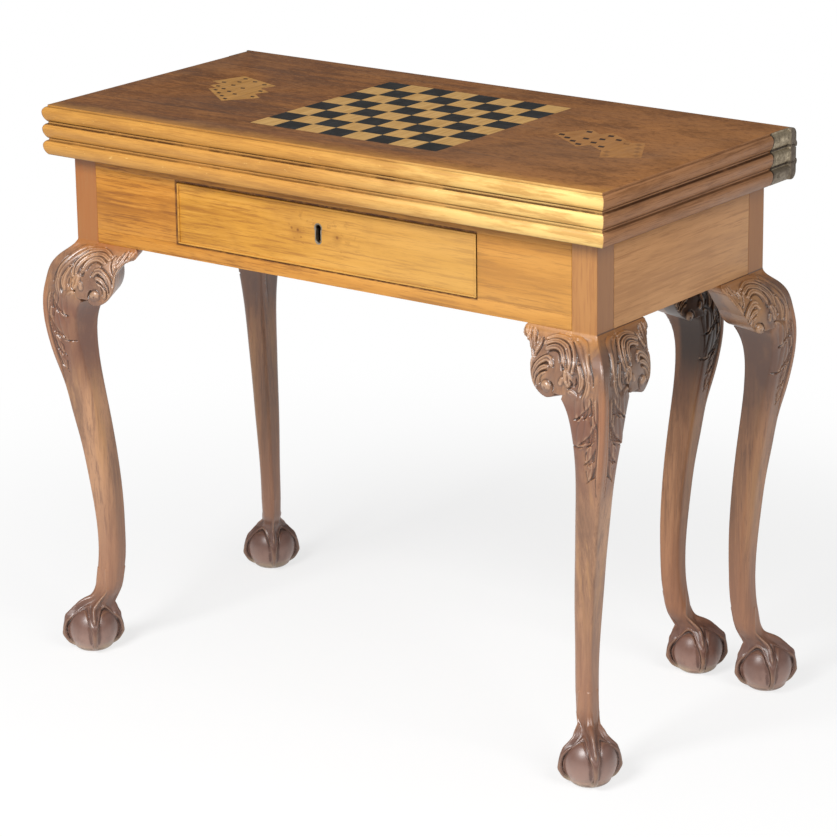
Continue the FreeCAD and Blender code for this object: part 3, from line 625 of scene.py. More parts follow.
    def on_side_ear(self, bench: Bench, height: Socket, side: Socket) -> tuple[Part, ...]:
        """Shares that bound the painted light on a side ear.

        Args:
            bench: Node tree to add to.
            height: Height above the floor.
            side: Share of a point on the side face.

        Returns:
            The shares.
        """
        inward = bench.size(bench.axis("Y"))
        rising = Fade(self.ear_low, self.ear_low + self.ear_rise, self.ear_share)
        within = Fade(self.ear_start + self.ear_edge, self.ear_start - self.ear_edge)
        on_knee = bench.span(inward, Fade(self.knee_start - self.knee_edge, self.knee_start + self.knee_edge))
        above = bench.most(on_knee, bench.span(height, self.over_knee))
        return side, (height, rising), (inward, within), above

    def stile_wood(self, bench: Bench, streaks: Socket, side: Socket) -> Socket:
        """Colour of the square stile, darker at the left, with painted shade on its side face.

        Args:
            bench: Node tree to add to.
            streaks: Noise of the leg's streaks.
            side: Share of a point on the side face.

        Returns:
            The stile's colour.
        """
        colour = bench.tint(self.stile, self.stile_left, (bench.axis("X"), self.to_left))
        colour = bench.tint(colour, self.stile_grain, (streaks, self.streak_grain))
        colour = bench.tint(colour, self.stile_grain, self.lines)
        # painted shade on the side face
        return bench.mix(bench.times(side, self.stile_side_share), colour, self.stile_side_shade)

    def foot_wood(self, bench: Bench, height: Socket, mottle: Socket, relief: Socket) -> Socket:
        """Colour of the ball, paler low down as a painted reflection of the floor, and of the dark claws
        round it.

        Args:
            bench: Node tree to add to.
            height: Height above the floor.
            mottle: Noise of the leg's patches.
            relief: How far a point stands proud of the carving round it.

        Returns:
            The foot's colour.
        """
        # painted reflection: the ball pales towards the floor
        colour = bench.tint(self.foot, self.crown, (height, self.up_ball_reflection))
        for part in ((mottle, self.ball_spots), (relief, self.claw_relief), (height, self.over_ball)):
            colour = bench.tint(colour, self.claw, part)
        return colour

    def gloss(self, bench: Bench, bands: Socket) -> Socket:
        """Roughness that rises a little on the foot and more on the stile."""
        height = bench.axis("Z")
        foot = bench.span(height, Fade(*self.foot_gloss, self.roughness, self.foot_roughness))
        return bench.plus(foot, bench.span(height, self.on_stile.up_to(self.stile_duller)))


@dataclass(frozen=True)
class FriezeFinish(WoodFinish):
    """Frieze wood that pales to the right, with grime and painted shade in the joint round the drawer and
    painted shade under the top.
    """

    stain_share: float = 0.4
    pale: Colour = shade(0.55, 0.288, 0.083)
    # near black, for grime and painted shade
    dirt_and_shade: Colour = shade(0.085, 0.027, 0.006)
    half_width: float = 0.2416
    half_height: float = 0.0420
    middle_x: float = -0.0016
    middle_z: float = 0.6411
    to_right: Fade = Fade(-0.30, 0.42, 0.48)
    ragged: Pattern = Pattern(90.0, 3.0, 0.6)
    in_joint: Fade = Fade(0.0022, 0.0010)
    joint_dirt_and_shade: Fade = Fade(0.3, 0.6, 0.95, 0.55)
    shade_under_top: Fade = Fade(0.685, 0.697)
    top_shade_share: Fade = Fade(0.3, 0.6, 0.55, 0.3)

    def wear(self, bench: Bench, colour: Socket) -> Socket:
        """Pales the right half, darkens the joints with grime and painted shade, and paints shade under the
        top.

        Args:
            bench: Node tree to add to.
            colour: Colour of the wood.

        Returns:
            The worn colour.
        """
        colour = bench.tint(colour, self.pale, (bench.axis("X"), self.to_right))
        beside = bench.less(bench.off("X", self.middle_x), self.half_width)
        above = bench.less(bench.off("Z", self.middle_z), self.half_height)
        ragged = bench.noise(self.ragged)
        # grime and painted shade in the joint round the drawer
        joint = bench.share((bench.most(beside, above), self.in_joint), (ragged, self.joint_dirt_and_shade))
        # painted shade under the overhanging top, made ragged by noise
        under = bench.share((bench.axis("Z"), self.shade_under_top), (ragged, self.top_shade_share))
        return bench.mix(bench.most(joint, under), colour, self.dirt_and_shade)


@dataclass(frozen=True)
class DrawerFinish(WoodFinish):
    """Drawer front that pales to the right, with knots and scratches round its keyhole.

    Each knot is its place to the right of the keyhole and above it, its radius and its depth of tone.
    """

    keyhole: Triple = (-0.0073, -0.192, 0.6455)
    knots: tuple[tuple[float, float, float, float], ...] = (
        (-0.0330, 0.0010, 0.0030, 0.85), (-0.0430, 0.0026, 0.0026, 0.65), (-0.0280, -0.0077, 0.0018, 0.6),
        (0.0305, -0.0004, 0.0032, 0.75), (0.0305, -0.0020, 0.0110, 0.30), (-0.0340, 0.0000, 0.0160, 0.25))
    knot_core: float = 0.25
    hole_radius: float = 0.0115
    hole_core: float = 0.9
    hole_start: float = 0.0014
    hole_full: float = 1.4
    mark: Colour = shade(0.19, 0.062, 0.014)
    # painted shade: near black on the walls inside the keyhole
    inside: Colour = shade(0.012, 0.006, 0.003)
    pale: Colour = shade(0.56, 0.325, 0.097)
    to_right: Fade = Fade(-0.20, 0.26, 0.55)
    handled_stretch: Triple = (0.55, 1.0, 1.0)
    near_keyhole: Fade = Fade(0.050, 0.012)
    spots: Layer = (Pattern(150.0, 3.0, 0.6, stretch=(0.6, 1.0, 1.0)), Fade(0.60, 0.70, 0.4))

    def wear(self, bench: Bench, colour: Socket) -> Socket:
        """Pales the right half, spots the handled ground round the keyhole and paints shade inside the hole.

        Args:
            bench: Node tree to add to.
            colour: Colour of the wood.

        Returns:
            The worn colour.
        """
        colour = bench.tint(colour, self.pale, (bench.axis("X"), self.to_right))
        gap = bench.node("ShaderNodeVectorMath", operation="DISTANCE")
        bench.feed(bench.mapped(self.handled_stretch), gap.inputs[0])
        gap.inputs[1].default_value = [a * b for a, b in zip(self.keyhole, self.handled_stretch)]
        colour = bench.tint(colour, self.mark, (gap.outputs["Value"], self.near_keyhole), self.spots)
        for across, rise, radius, depth in self.knots:
            knot = Fade(radius, self.knot_core * radius, depth)
            colour = bench.tint(colour, self.mark, (self.away(bench, across, rise), knot))
        face = self.keyhole[1]
        hollow = Fade(face + self.hole_start, face + self.hole_full * self.hole_start)
        within = Fade(self.hole_radius, self.hole_core * self.hole_radius)
        from_hole = self.away(bench, 0.0, 0.0)
        # painted shade on the walls inside the keyhole
        return bench.tint(colour, self.inside, (bench.axis("Y"), hollow), (from_hole, within))

    def away(self, bench: Bench, across: float, rise: float) -> Socket:
        """Distance from a spot beside the keyhole, seen from the front.

        Args:
            bench: Node tree to add to.
            across: The spot's place to the right of the keyhole.
            rise: The spot's height over the keyhole.

        Returns:
            The distance.
        """
        beside = bench.less(bench.axis("X"), self.keyhole[0] + across)
        above = bench.less(bench.axis("Z"), self.keyhole[2] + rise)
        return bench.sum("SQRT", bench.plus(bench.times(beside, beside), bench.times(above, above)))


@dataclass(frozen=True)
class InlayFinish:
    """Veneer let into the top, with fine grain, scuffs and a dull wax."""

    name: str
    dark: Colour
    light: Colour
    scuff: Colour
    scuff_share: float = 0.3
    roughness: float = 0.45
    grain: Pattern = Pattern(170.0, 4.0, 0.6, stretch=(1.0, 0.08, 1.0))
    grain_range: Pair = (0.35, 0.65)
    grain_depth: float = 0.15 * MM
    grain_slope: float = 0.15
    scuffs: Pattern = Pattern(42.0, 6.0, 0.7, 0.5)
    scuffed: Fade = Fade(0.55, 0.75)
    gloss_range: Pair = (0.3, 0.75)
    shinier: float = 0.06
    duller: float = 0.15
    glare: float = 0.22

    def wear(self, bench: Bench, colour: Socket) -> Socket:
        """Colour after use; plain veneer stays as it is."""
        return colour

    def material(self) -> bpy.types.Material:
        """Builds the node material.

        Returns:
            The finished material.
        """
        bench = Bench(self.name)
        grain = bench.noise(self.grain)
        scuffs = bench.noise(self.scuffs)
        colour = bench.ramp(grain, zip(self.grain_range, (self.dark, self.light)))
        colour = bench.tint(colour, self.scuff, (scuffs, self.scuffed.up_to(self.scuff_share)))
        colour = self.wear(bench, colour)
        bench.bump(grain, self.grain_depth, self.grain_slope)
        gloss = Fade(*self.gloss_range, self.roughness + self.duller, self.roughness - self.shinier)
        return bench.finish(colour, bench.span(scuffs, gloss), Specular_IOR_Level=self.glare)


@dataclass(frozen=True)
class PipFinish(InlayFinish):
    """Pips of the inlaid cards, worn faint on the card nearest the right end."""

    worn_card: Fade = Fade(0.319, 0.320, 0.85)
    faint: Colour = shade(0.28, 0.122, 0.035)

    def wear(self, bench: Bench, colour: Socket) -> Socket:
        """Fades the pips past a place along the top."""
        return bench.tint(colour, self.faint, (bench.axis("X"), self.worn_card))


@dataclass(frozen=True)
class MetalFinish:
    """Old metal with bright rubbed places and dull tarnish."""

    name: str
    bright: Colour
    tarnish: Colour
    roughness: float = 0.36
    patches: Pattern = Pattern(140.0, 5.0, 0.62, 0.2)
    patch_range: Pair = (0.30, 0.70)
    scratches: Pattern = Pattern(900.0, 2.0, stretch=(1.0, 0.06, 0.06))
    scratch_depth: float = 0.08 * MM
    scratch_slope: float = 0.3
    shinier: float = 0.04
    duller: float = 0.22
    metal: float = 0.75

    def wear(self, bench: Bench, colour: Socket) -> Socket:
        """Colour after use; plain metal stays as it is."""
        return colour

    def material(self) -> bpy.types.Material:
        """Builds the node material.

        Returns:
            The finished material.
        """
        bench = Bench(self.name)
        patches = bench.noise(self.patches)
        colour = bench.ramp(patches, zip(self.patch_range, (self.tarnish, self.bright)))
        colour = self.wear(bench, colour)
        bench.bump(bench.noise(self.scratches), self.scratch_depth, self.scratch_slope)
        gloss = Fade(*self.patch_range, self.roughness - self.shinier, self.roughness + self.duller)
        return bench.finish(colour, bench.span(patches, gloss), Metallic=self.metal)


@dataclass(frozen=True)
class HingeFinish(MetalFinish):
    """Brass of the hinges, dark on the straps and the lowest plate, with painted shade along the leaves'
    partings and grime and painted shade in the joint at each plate's front.
    """

    strap: Colour = shade(0.105, 0.080, 0.064)
    # near black, for grime and painted shade
    dirt_and_shade: Colour = shade(0.030, 0.020, 0.014)
    on_strap: Fade = Fade(0.2045, 0.2095, 0.85)
    before_strap: Fade = Fade(0.2095, 0.2045)
    low_plate: Fade = Fade(0.718, 0.716, 0.6)
    partings: Pair = (0.7422, 0.7196)
    parting_shade: Fade = Fade(0.0024, 0.00096, 0.9)
    plate_front: Fade = Fade(0.1674, 0.1652, 0.85)

    def wear(self, bench: Bench, colour: Socket) -> Socket:
        """Darkens the straps and the lowest plate, paints shade along the partings, and darkens the joint at
        the plate's front end with grime and painted shade.

        Args:
            bench: Node tree to add to.
            colour: Colour of the metal.

        Returns:
            The worn colour.
        """
        back = bench.axis("Y")
        lowest = bench.span(bench.axis("Z"), self.low_plate)
        colour = bench.mix(bench.most(bench.span(back, self.on_strap), lowest), colour, self.strap)
        for level in self.partings:
            # painted shade along the partings between the leaves
            colour = bench.tint(colour, self.dirt_and_shade, (bench.off("Z", level), self.parting_shade),
                                (back, self.before_strap))
        # grime and painted shade in the joint at the plate's front
        return bench.tint(colour, self.dirt_and_shade, (back, self.plate_front))


@dataclass(frozen=True)
class BaizeFinish:
    """Green woollen cloth with a short felted nap."""

    name: str
    shadow: Colour
    nap: Colour
    faded: Colour = shade(0.10, 0.20, 0.06)
    fibres: Pattern = Pattern(1500.0, 4.0, 0.7)
    fibre_range: Pair = (0.30, 0.70)
    fibre_depth: float = 0.5 * MM
    fibre_slope: float = 0.5
    patches: Layer = (Pattern(6.0, 4.0, 0.6), Fade(0.45, 0.75, 0.3))
    roughness: float = 0.92
    sheen: float = 0.35
    sheen_roughness: float = 0.5

    def material(self) -> bpy.types.Material:
        """Builds the node material.

        Returns:
            The finished material.
        """
        bench = Bench(self.name)
        fibres = bench.noise(self.fibres)
        colour = bench.ramp(fibres, zip(self.fibre_range, (self.shadow, self.nap)))
        colour = bench.tint(colour, self.faded, self.patches)
        bench.bump(fibres, self.fibre_depth, self.fibre_slope)
        return bench.finish(colour, self.roughness, Sheen_Weight=self.sheen,
                            Sheen_Roughness=self.sheen_roughness)


LOWER_LEAF_TONES = (shade(0.17, 0.072, 0.028), shade(0.30, 0.135, 0.046),
                    shade(0.42, 0.20, 0.065), shade(0.12, 0.048, 0.018))


class Finishes:
    """Every finish of the table, made once."""

    def __init__(self) -> None:
        """Mixes the finishes."""
        self.mix_leaves()
        self.mix_frieze()
        self.mix_legs()
        self.mix_carcase()
        self.mix_inlay()
        self.mix_fittings()

    def mix_leaves(self) -> None:
        """Walnut of the three leaves."""
        self.top_leaf = LeafFinish(
            "top_leaf_walnut", Grain.ALONG_X, shade(0.130, 0.048, 0.014), shade(0.222, 0.082, 0.022),
            shade(0.290, 0.118, 0.034), shade(0.095, 0.034, 0.010), replace(FIGURE, scale=60.0),
            stain_share=0.4, fibre_share=0.45, glare=0.16, spread=0.17,
            quirks=((0.7428, 0.0022, 0.9), (0.7624, 0.0007, 0.45))).material()
        self.middle_leaf = LeafFinish(
            "middle_leaf_walnut", Grain.ALONG_X, *LOWER_LEAF_TONES,
            quirks=((0.7396, 0.0016, 0.95), (0.7202, 0.0020, 0.75))).material()
        self.bottom_leaf = LeafFinish(
            "bottom_leaf_walnut", Grain.ALONG_X, *LOWER_LEAF_TONES,
            quirks=((0.7170, 0.0013, 0.65), (0.6976, 0.0014, 0.6))).material()

    def mix_frieze(self) -> None:
        """Walnut of the frieze and the drawer front."""
        self.front = FriezeFinish(
            "frieze_front_walnut", Grain.ALONG_X, shade(0.38, 0.145, 0.019), shade(0.51, 0.210, 0.029),
            shade(0.61, 0.275, 0.051), shade(0.25, 0.090, 0.016), fibre_share=0.85).material()
        self.side = FriezeFinish(
            "frieze_side_walnut", Grain.ALONG_Y, shade(0.33, 0.152, 0.056), shade(0.47, 0.235, 0.094),
            shade(0.58, 0.31, 0.140), shade(0.25, 0.106, 0.038), fibre_share=0.95,
            pale=shade(0.52, 0.27, 0.118)).material()
        self.drawer = DrawerFinish(
            "drawer_front_walnut", Grain.ALONG_X, shade(0.425, 0.182, 0.022), shade(0.555, 0.260, 0.034),
            shade(0.645, 0.322, 0.060), shade(0.30, 0.115, 0.018), replace(FIGURE, scale=22.0),
            fibre_share=0.75).material()

    def mix_legs(self) -> None:
        """Walnut of the front, back and swing legs, the swing leg's darkened with painted shade."""
        self.leg = CarvedFinish(
            "leg_walnut", Grain.ALONG_Z, shade(0.238, 0.110, 0.049), shade(0.355, 0.172, 0.081),
            shade(0.45, 0.228, 0.110), shade(0.165, 0.071, 0.032), fibre_share=0.6, glare=0.9).material()
        # painted light: golden tone on the back legs' side ears
        self.back_leg = CarvedFinish(
            "back_leg_walnut", Grain.ALONG_Z, shade(0.205, 0.085, 0.033), shade(0.310, 0.134, 0.054),
            shade(0.398, 0.182, 0.074), shade(0.14, 0.057, 0.022), fibre_share=0.6, glare=0.8,
            golden=shade(0.38, 0.185, 0.068), side_ear_painted_light=shade(0.40, 0.205, 0.085),
            ear=shade(0.120, 0.068, 0.047), knee=shade(0.125, 0.054, 0.030), ear_share=0.5, ear_start=0.154,
            ear_low=0.48).material()
        # painted shade: the swing leg stands under the frame, so its finish is a darker copy of the leg wood,
        # near black on its side ear and in its cuts
        self.gate_leg = CarvedFinish(
            "gate_leg_walnut_painted_shade", Grain.ALONG_Z, shade(0.190, 0.083, 0.037), shade(0.290, 0.134, 0.061),
            shade(0.37, 0.178, 0.083), shade(0.13, 0.056, 0.026), fibre_share=0.5, glare=0.5,
            golden=shade(0.34, 0.165, 0.062), side_ear_painted_light=shade(0.030, 0.015, 0.009),
            knee=shade(0.125, 0.054, 0.030), dirt_and_shade=shade(0.016, 0.008, 0.005), half_width=0.310,
            half_depth=0.1915, ear_share=0.85, ear_low=0.40, knee_start=0.161).material()

    def mix_carcase(self) -> None:
        """Plain wood behind the walnut."""
        self.carcase_x = WoodFinish(
            "carcase_beech_x", Grain.ALONG_X, shade(0.36, 0.20, 0.085), shade(0.46, 0.27, 0.125),
            shade(0.54, 0.34, 0.17), shade(0.28, 0.15, 0.06), roughness=0.6, glare=0.2).material()
        self.carcase_z = WoodFinish(
            "carcase_beech_z", Grain.ALONG_Z, shade(0.34, 0.19, 0.08), shade(0.44, 0.26, 0.12),
            shade(0.52, 0.33, 0.165), shade(0.26, 0.14, 0.055), roughness=0.6, glare=0.2).material()
        self.lining = WoodFinish(
            "drawer_lining_wood", Grain.ALONG_Y, shade(0.42, 0.26, 0.12), shade(0.54, 0.36, 0.18),
            shade(0.62, 0.44, 0.24), shade(0.32, 0.19, 0.08), roughness=0.62, glare=0.2).material()

    def mix_inlay(self) -> None:
        """Veneers of the chessboard and the playing cards."""
        self.dark_inlay = InlayFinish("dark_square_veneer", shade(0.006, 0.006, 0.006),
                                      shade(0.014, 0.013, 0.012), shade(0.10, 0.075, 0.05), 0.16).material()
        self.light_inlay = InlayFinish("light_square_veneer", shade(0.43, 0.235, 0.068),
                                       shade(0.59, 0.350, 0.118), shade(0.28, 0.13, 0.04), 0.4).material()
        self.left_card = InlayFinish("left_card_veneer", shade(0.35, 0.168, 0.041),
                                     shade(0.49, 0.245, 0.062), shade(0.24, 0.10, 0.028), 0.5).material()
        self.right_card = InlayFinish("right_card_veneer", shade(0.30, 0.130, 0.036),
                                      shade(0.385, 0.174, 0.048), shade(0.20, 0.080, 0.022), 0.5).material()
        self.pips = PipFinish("dark_pip_veneer", shade(0.020, 0.008, 0.004), shade(0.040, 0.016, 0.007),
                              shade(0.10, 0.05, 0.02), 0.2).material()

    def mix_fittings(self) -> None:
        """Metal of the hinges and the lock, and the baize."""
        self.brass = HingeFinish("hinge_brass", shade(0.50, 0.41, 0.275), shade(0.20, 0.160, 0.110),
                                 0.44).material()
        self.liner = MetalFinish("keyhole_liner", shade(0.36, 0.31, 0.24), shade(0.17, 0.14, 0.10),
                                 0.4).material()
        self.steel = MetalFinish("dull_steel", shade(0.42, 0.41, 0.40), shade(0.13, 0.11, 0.09)).material()
        self.baize = BaizeFinish("green_baize", shade(0.010, 0.055, 0.022),
                                 shade(0.028, 0.12, 0.05)).material()


class Shop:
    """Modelling calls that the sub-assemblies share."""

    WELD: float = 0.002 * MM
    FLAT: float = math.radians(0.4)
    SHARP: float = math.radians(35)
    SMOOTH: float = math.radians(32)

    @staticmethod
    def take(piece: bpy.types.Object) -> None:
        """Selects one object alone and makes it active."""
        bpy.ops.object.select_all(action="DESELECT")
        piece.select_set(True)
        bpy.context.view_layer.objects.active = piece

    @staticmethod
    def edit() -> None:
        """Puts the active piece in edit mode, with all of it selected."""
        bpy.ops.object.mode_set(mode="EDIT")
        bpy.ops.mesh.select_all(action="SELECT")

    @staticmethod
    def copy(node: str, name: str) -> bpy.types.Object:
        """Copies a node's mesh as a new welded piece.

        Args:
            node: Node whose mesh is copied.
            name: Name of the new piece.

        Returns:
            The new piece.
        """
        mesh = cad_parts[node].data.copy()
        mesh.name = name
        mesh.materials.clear()
        piece = bpy.data.objects.new(name, mesh)
        bpy.context.scene.collection.objects.link(piece)
        Shop.take(piece)
        Shop.edit()
        bpy.ops.mesh.remove_doubles(threshold=Shop.WELD)
        bpy.ops.object.mode_set(mode="OBJECT")
        bpy.ops.mesh.customdata_custom_splitnormals_clear()
        return piece

    @staticmethod
    def modify(piece: bpy.types.Object, kind: str, **settings: object) -> None:
        """Adds a modifier to a piece and applies it.

        Args:
            piece: Piece to change.
            kind: Blender's name of the modifier.
            settings: Properties to set on the modifier.
        """
        Shop.take(piece)
        modifier = piece.modifiers.new(kind.lower(), kind)
        for name, value in settings.items():
            setattr(modifier, name, value)
        bpy.ops.object.modifier_apply(modifier=modifier.name)

    @staticmethod
    def ease(node: str, body: str, slot: str, material: bpy.types.Material, width: float) -> bpy.types.Object:
        """Stands a copy of a node with rounded arrises in its place.

        Args:
            node: Node to stand for.
            body: Body that carries it.
            slot: Name of a material slot, handed on and not used.
            material: Finish of the piece.
            width: Width of the rounding, in metres.

        Returns:
            The new piece.
        """
        piece = Shop.copy(node, f"{node}_eased")
        Shop.edit()
        bpy.ops.mesh.dissolve_limited(angle_limit=Shop.FLAT)
        bpy.ops.object.mode_set(mode="OBJECT")
        Shop.modify(piece, "BEVEL", width=width, segments=2, limit_method="ANGLE",
                    angle_limit=Shop.SHARP, use_clamp_overlap=True)
        bpy.ops.object.shade_smooth_by_angle(angle=Shop.SMOOTH)
        return Shop.hand_over(piece, body, slot, material, node)

    @staticmethod
    def hand_over(piece: bpy.types.Object, body: str, slot: str, material: bpy.types.Material,
                  *nodes: str) -> bpy.types.Object:
        """Dresses a piece and sets it on its body in place of its nodes.

        Args:
            piece: Piece to dress.
            body: Body that carries it.
            slot: Not used.
            material: Finish of the piece.
            nodes: Nodes that it stands for.

        Returns:
            The same piece.
        """
        piece.data.materials.clear()
        piece.data.materials.append(material)
        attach(piece, body)
        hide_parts(*nodes)
        LOG.info("%s: %d faces on %s", piece.name, len(piece.data.polygons), body)
        return piece

    @staticmethod
    def dress(material: bpy.types.Material, *nodes: str) -> None:
        """Gives nodes a finish.

        Args:
            material: Finish to give.
            nodes: Nodes that take it.
        """
        for node in nodes:
            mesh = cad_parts[node].data
            mesh.materials.clear()
            mesh.materials.append(material)
            LOG.info("%s: dressed with %s", node, material.name)


@dataclass(frozen=True)
class Stroke:
    """One reed or cut of the carving, drawn on a leg's face in millimetres.

    Its points are (along the face from the leg's corner, down from the frieze). A negative height is a cut.
    The step is the spacing of the points that its curve is worked out at.
    """

    points: Points
    half_width: float
    height: float
    start_share: float = 0.6
    end_share: float = 0.5
    crown: float = 2.4
    vein: float = 0.55
    vein_width: float = 0.22
    fullness: float = 0.7
    step: float = 0.7

    def line(self) -> np.ndarray:
        """Points of a smooth curve through the stroke's own points.

        Returns:
            One row of (along, down, place on the curve from 0 to 1) for each point.
        """
        knots = np.array(self.points, float)
        padded = np.vstack([2 * knots[0] - knots[1], knots, 2 * knots[-1] - knots[-2]])
        rows = []
        for a, b, c, d in zip(padded, padded[1:], padded[2:], padded[3:]):
            count = 2 + int(np.linalg.norm(c - b) / self.step)
            steps = np.linspace(0.0, 1.0, count, endpoint=False)[:, None]
            rows.append(0.5 * (2 * b + (c - a) * steps + (2 * a - 5 * b + 4 * c - d) * steps ** 2
                               + (3 * b - a - 3 * c + d) * steps ** 3))
        curve = np.vstack(rows + [knots[-1:]])
        return np.column_stack([curve, np.linspace(0.0, 1.0, len(curve))])

    def add(self, along: np.ndarray, down: np.ndarray, raised: np.ndarray, sunk: np.ndarray) -> None:
        """Adds the stroke to a face's heights.

        Args:
            along: Distance of each point along the face.
            down: Distance of each point below the frieze.
            raised: Heights so far, changed in place.
            sunk: Depths so far, changed in place.
        """
        line = self.line()
        low = line[:, :2].min(0) - self.half_width
        high = line[:, :2].max(0) + self.half_width
        inside = (along > low[0]) & (along < high[0]) & (down > low[1]) & (down < high[1])
        near = np.nonzero(inside)[0]
        if not len(near):
            return
        gaps = np.hypot(along[near, None] - line[None, :, 0], down[near, None] - line[None, :, 1])
        nearest = gaps.argmin(1)
        place = line[nearest, 2]
        ends = self.start_share + (self.end_share - self.start_share) * place
        width = self.half_width * (ends + (1.0 - ends) * np.sin(math.pi * place) ** self.fullness)
        reach = np.clip(gaps[np.arange(len(near)), nearest] / width, 0.0, 1.0)
        if self.height > 0:
            vein = self.vein * np.exp(-(reach / self.vein_width) ** 2)
            swell = np.sqrt(1.0 - reach ** self.crown) - vein
            raised[near] = np.maximum(raised[near], self.height * swell)
        else:
            sunk[near] = np.maximum(sunk[near], -self.height * (1.0 - reach))


EAR_BANDS: tuple[Stroke, ...] = (
    Stroke(((99.5, 3.5), (98, 7), (96.5, 11)), 5.6, 3.0, 0.8, 0.6),
    Stroke(((91, 4), (89, 11), (85.5, 18), (82, 25)), 2.8, 2.4),
    Stroke(((81, 12), (80, 18), (79, 26)), 2.4, 2.0),
    Stroke(((75, 14), (75, 21), (78, 29)), 2.4, 2.0),
    Stroke(((95, 14), (89, 24), (85, 34), (83, 45), (81, 55), (76, 66), (67, 73.5), (56, 76)),
           5.0, 2.6, 0.6, 0.8),
    Stroke(((48.5, 37), (52, 33), (59, 32), (68, 38), (74, 47), (75.5, 56)), 4.2, 3.0, 0.9, 0.5),
    Stroke(((54, 41), (62, 43.5), (69, 50), (72, 59), (69.5, 67)), 3.6, 2.6, 0.5, 0.6),
    Stroke(((58, 48.5), (64, 52), (67.5, 58), (66.5, 65)), 2.6, 2.0, 0.5, 0.7),
    Stroke(((54.2, 64.6), (53.4, 65.4)), 7.2, 4.6, 1.0, 1.0, 2.0, 0.0),
    Stroke(((62, 22), (54, 18.5), (46, 18), (38, 21.5), (33, 28), (31, 36)), 3.4, 2.6),
    Stroke(((67, 17), (56, 13), (46, 12.8), (35, 16), (26.5, 23), (22, 31), (21, 40)), 3.4, 2.8),
    Stroke(((66, 12), (54, 8), (42, 8), (31, 11), (22, 17), (16.5, 25), (15, 34), (16, 43)), 3.2, 2.8),
    Stroke(((50, 4.5), (37, 5.5), (25, 8.5), (14, 13.5), (6, 21), (-1, 30), (-6, 39), (-8, 48)),
           6.2, 2.4, 0.5, 0.5),
    Stroke(((24, 43), (21, 50), (18.5, 58)), 6.8, 3.0, 0.7, 0.5),
    Stroke(((9, 31), (5, 38), (1.5, 45), (0.5, 54), (3, 62)), 4.0, 2.6, 0.6, 0.5),
    Stroke(((-7, 45), (-9.5, 54), (-8, 64), (-4, 72)), 3.6, 2.4, 0.5, 0.6),
    Stroke(((29.5, 52), (31.5, 57)), 3.4, 2.4, 1.0, 1.0, 2.0, 0.0),
    Stroke(((16, 66), (11, 69), (7, 74)), 4.6, 2.2, 0.8, 0.5),
)
EAR_CUTS: tuple[Stroke, ...] = (
    Stroke(((93.5, 2), (92.5, 8), (90, 15)), 1.5, -2.4),
    Stroke(((85.5, 6), (83.5, 12), (81, 17), (79.5, 22)), 1.5, -2.4),
    Stroke(((73.5, 12), (71, 17), (73, 25), (77.5, 34)), 2.0, -3.4),
    Stroke(((58, 27), (64, 30), (71, 35), (77, 42), (80, 50)), 1.6, -2.8),
    Stroke(((55, 37), (62, 39), (69, 44.5), (74, 53), (75.5, 60)), 1.7, -2.8),
    Stroke(((55.5, 46), (60, 47.5), (65.5, 50.5), (71, 57), (71.5, 66), (66, 71)), 2.0, -3.4),
    Stroke(((62, 52), (65, 57), (65, 64)), 1.5, -2.6),
    Stroke(((49.5, 32), (46.5, 35.5), (45.5, 40)), 1.8, -3.0),
    Stroke(((47.5, 58.5), (44.5, 62), (43.2, 67), (44, 73)), 2.4, -4.4, 0.5, 0.8),
    Stroke(((54.4, 65.8), (53.8, 66.6)), 1.5, -1.8, 1.0, 1.0),
    Stroke(((58.5, 28), (57.5, 24.5), (52, 22), (45.5, 21.8), (40.5, 25), (37, 33)), 1.7, -3.0),
    Stroke(((63, 19), (55, 15.6), (46, 15.2), (37, 18.5), (30.5, 25), (27.5, 33)), 1.4, -2.2),
    Stroke(((67, 14.5), (56, 10.4), (45, 10.4), (34, 13.3), (25, 19.5), (20, 28)), 1.4, -2.2),
    Stroke(((33, 8.2), (27, 11.5), (20, 17), (15, 24), (13, 33), (14, 41)), 1.6, -2.8),
    Stroke(((32, 36), (31, 40)), 2.8, -3.4, 0.9, 0.9),
    Stroke(((9.5, 31), (6.5, 31.5)), 2.2, -3.2, 0.8, 0.8),
    Stroke(((5.5, 33), (2, 38), (-1, 43), (-3, 46)), 1.5, -2.6),
    Stroke(((-1, 20), (-6, 27), (-11, 35), (-15, 44), (-17, 54)), 1.6, -2.6),
    Stroke(((17, 51), (15, 56.5), (20, 63)), 2.2, -3.8, 0.5, 0.4),
    Stroke(((10, 47), (8.5, 53), (11, 58)), 1.8, -3.4, 0.5, 0.4),
    Stroke(((-3.5, 52), (-3, 60), (0, 68)), 1.4, -2.2),
)
KNEE_LOBES: tuple[Stroke, ...] = (
    Stroke(((33, 66), (34.5, 76), (35.5, 86), (38, 95)), 9.0, 2.0, 0.8, 0.6, 2.2),
    Stroke(((24, 62), (24, 72), (24.5, 82), (28, 92)), 5.0, 2.0, 0.7, 0.5),
    Stroke(((17, 58), (16.5, 68), (15, 78), (14.5, 90), (15.5, 104)), 4.4, 2.0, 0.7, 0.4),
    Stroke(((28, 97), (29.5, 108), (31, 120), (34, 130)), 10.0, 1.7, 0.6, 0.6, 2.2),
    Stroke(((17, 104), (17, 114), (19, 126)), 5.0, 1.7, 0.6, 0.5),
    Stroke(((20, 131), (22, 140), (21, 150), (17, 157)), 5.6, 1.6, 0.6, 0.6, 2.2),
    Stroke(((16, 158), (19, 166), (18, 176)), 4.2, 1.2, 0.6, 0.4),
)
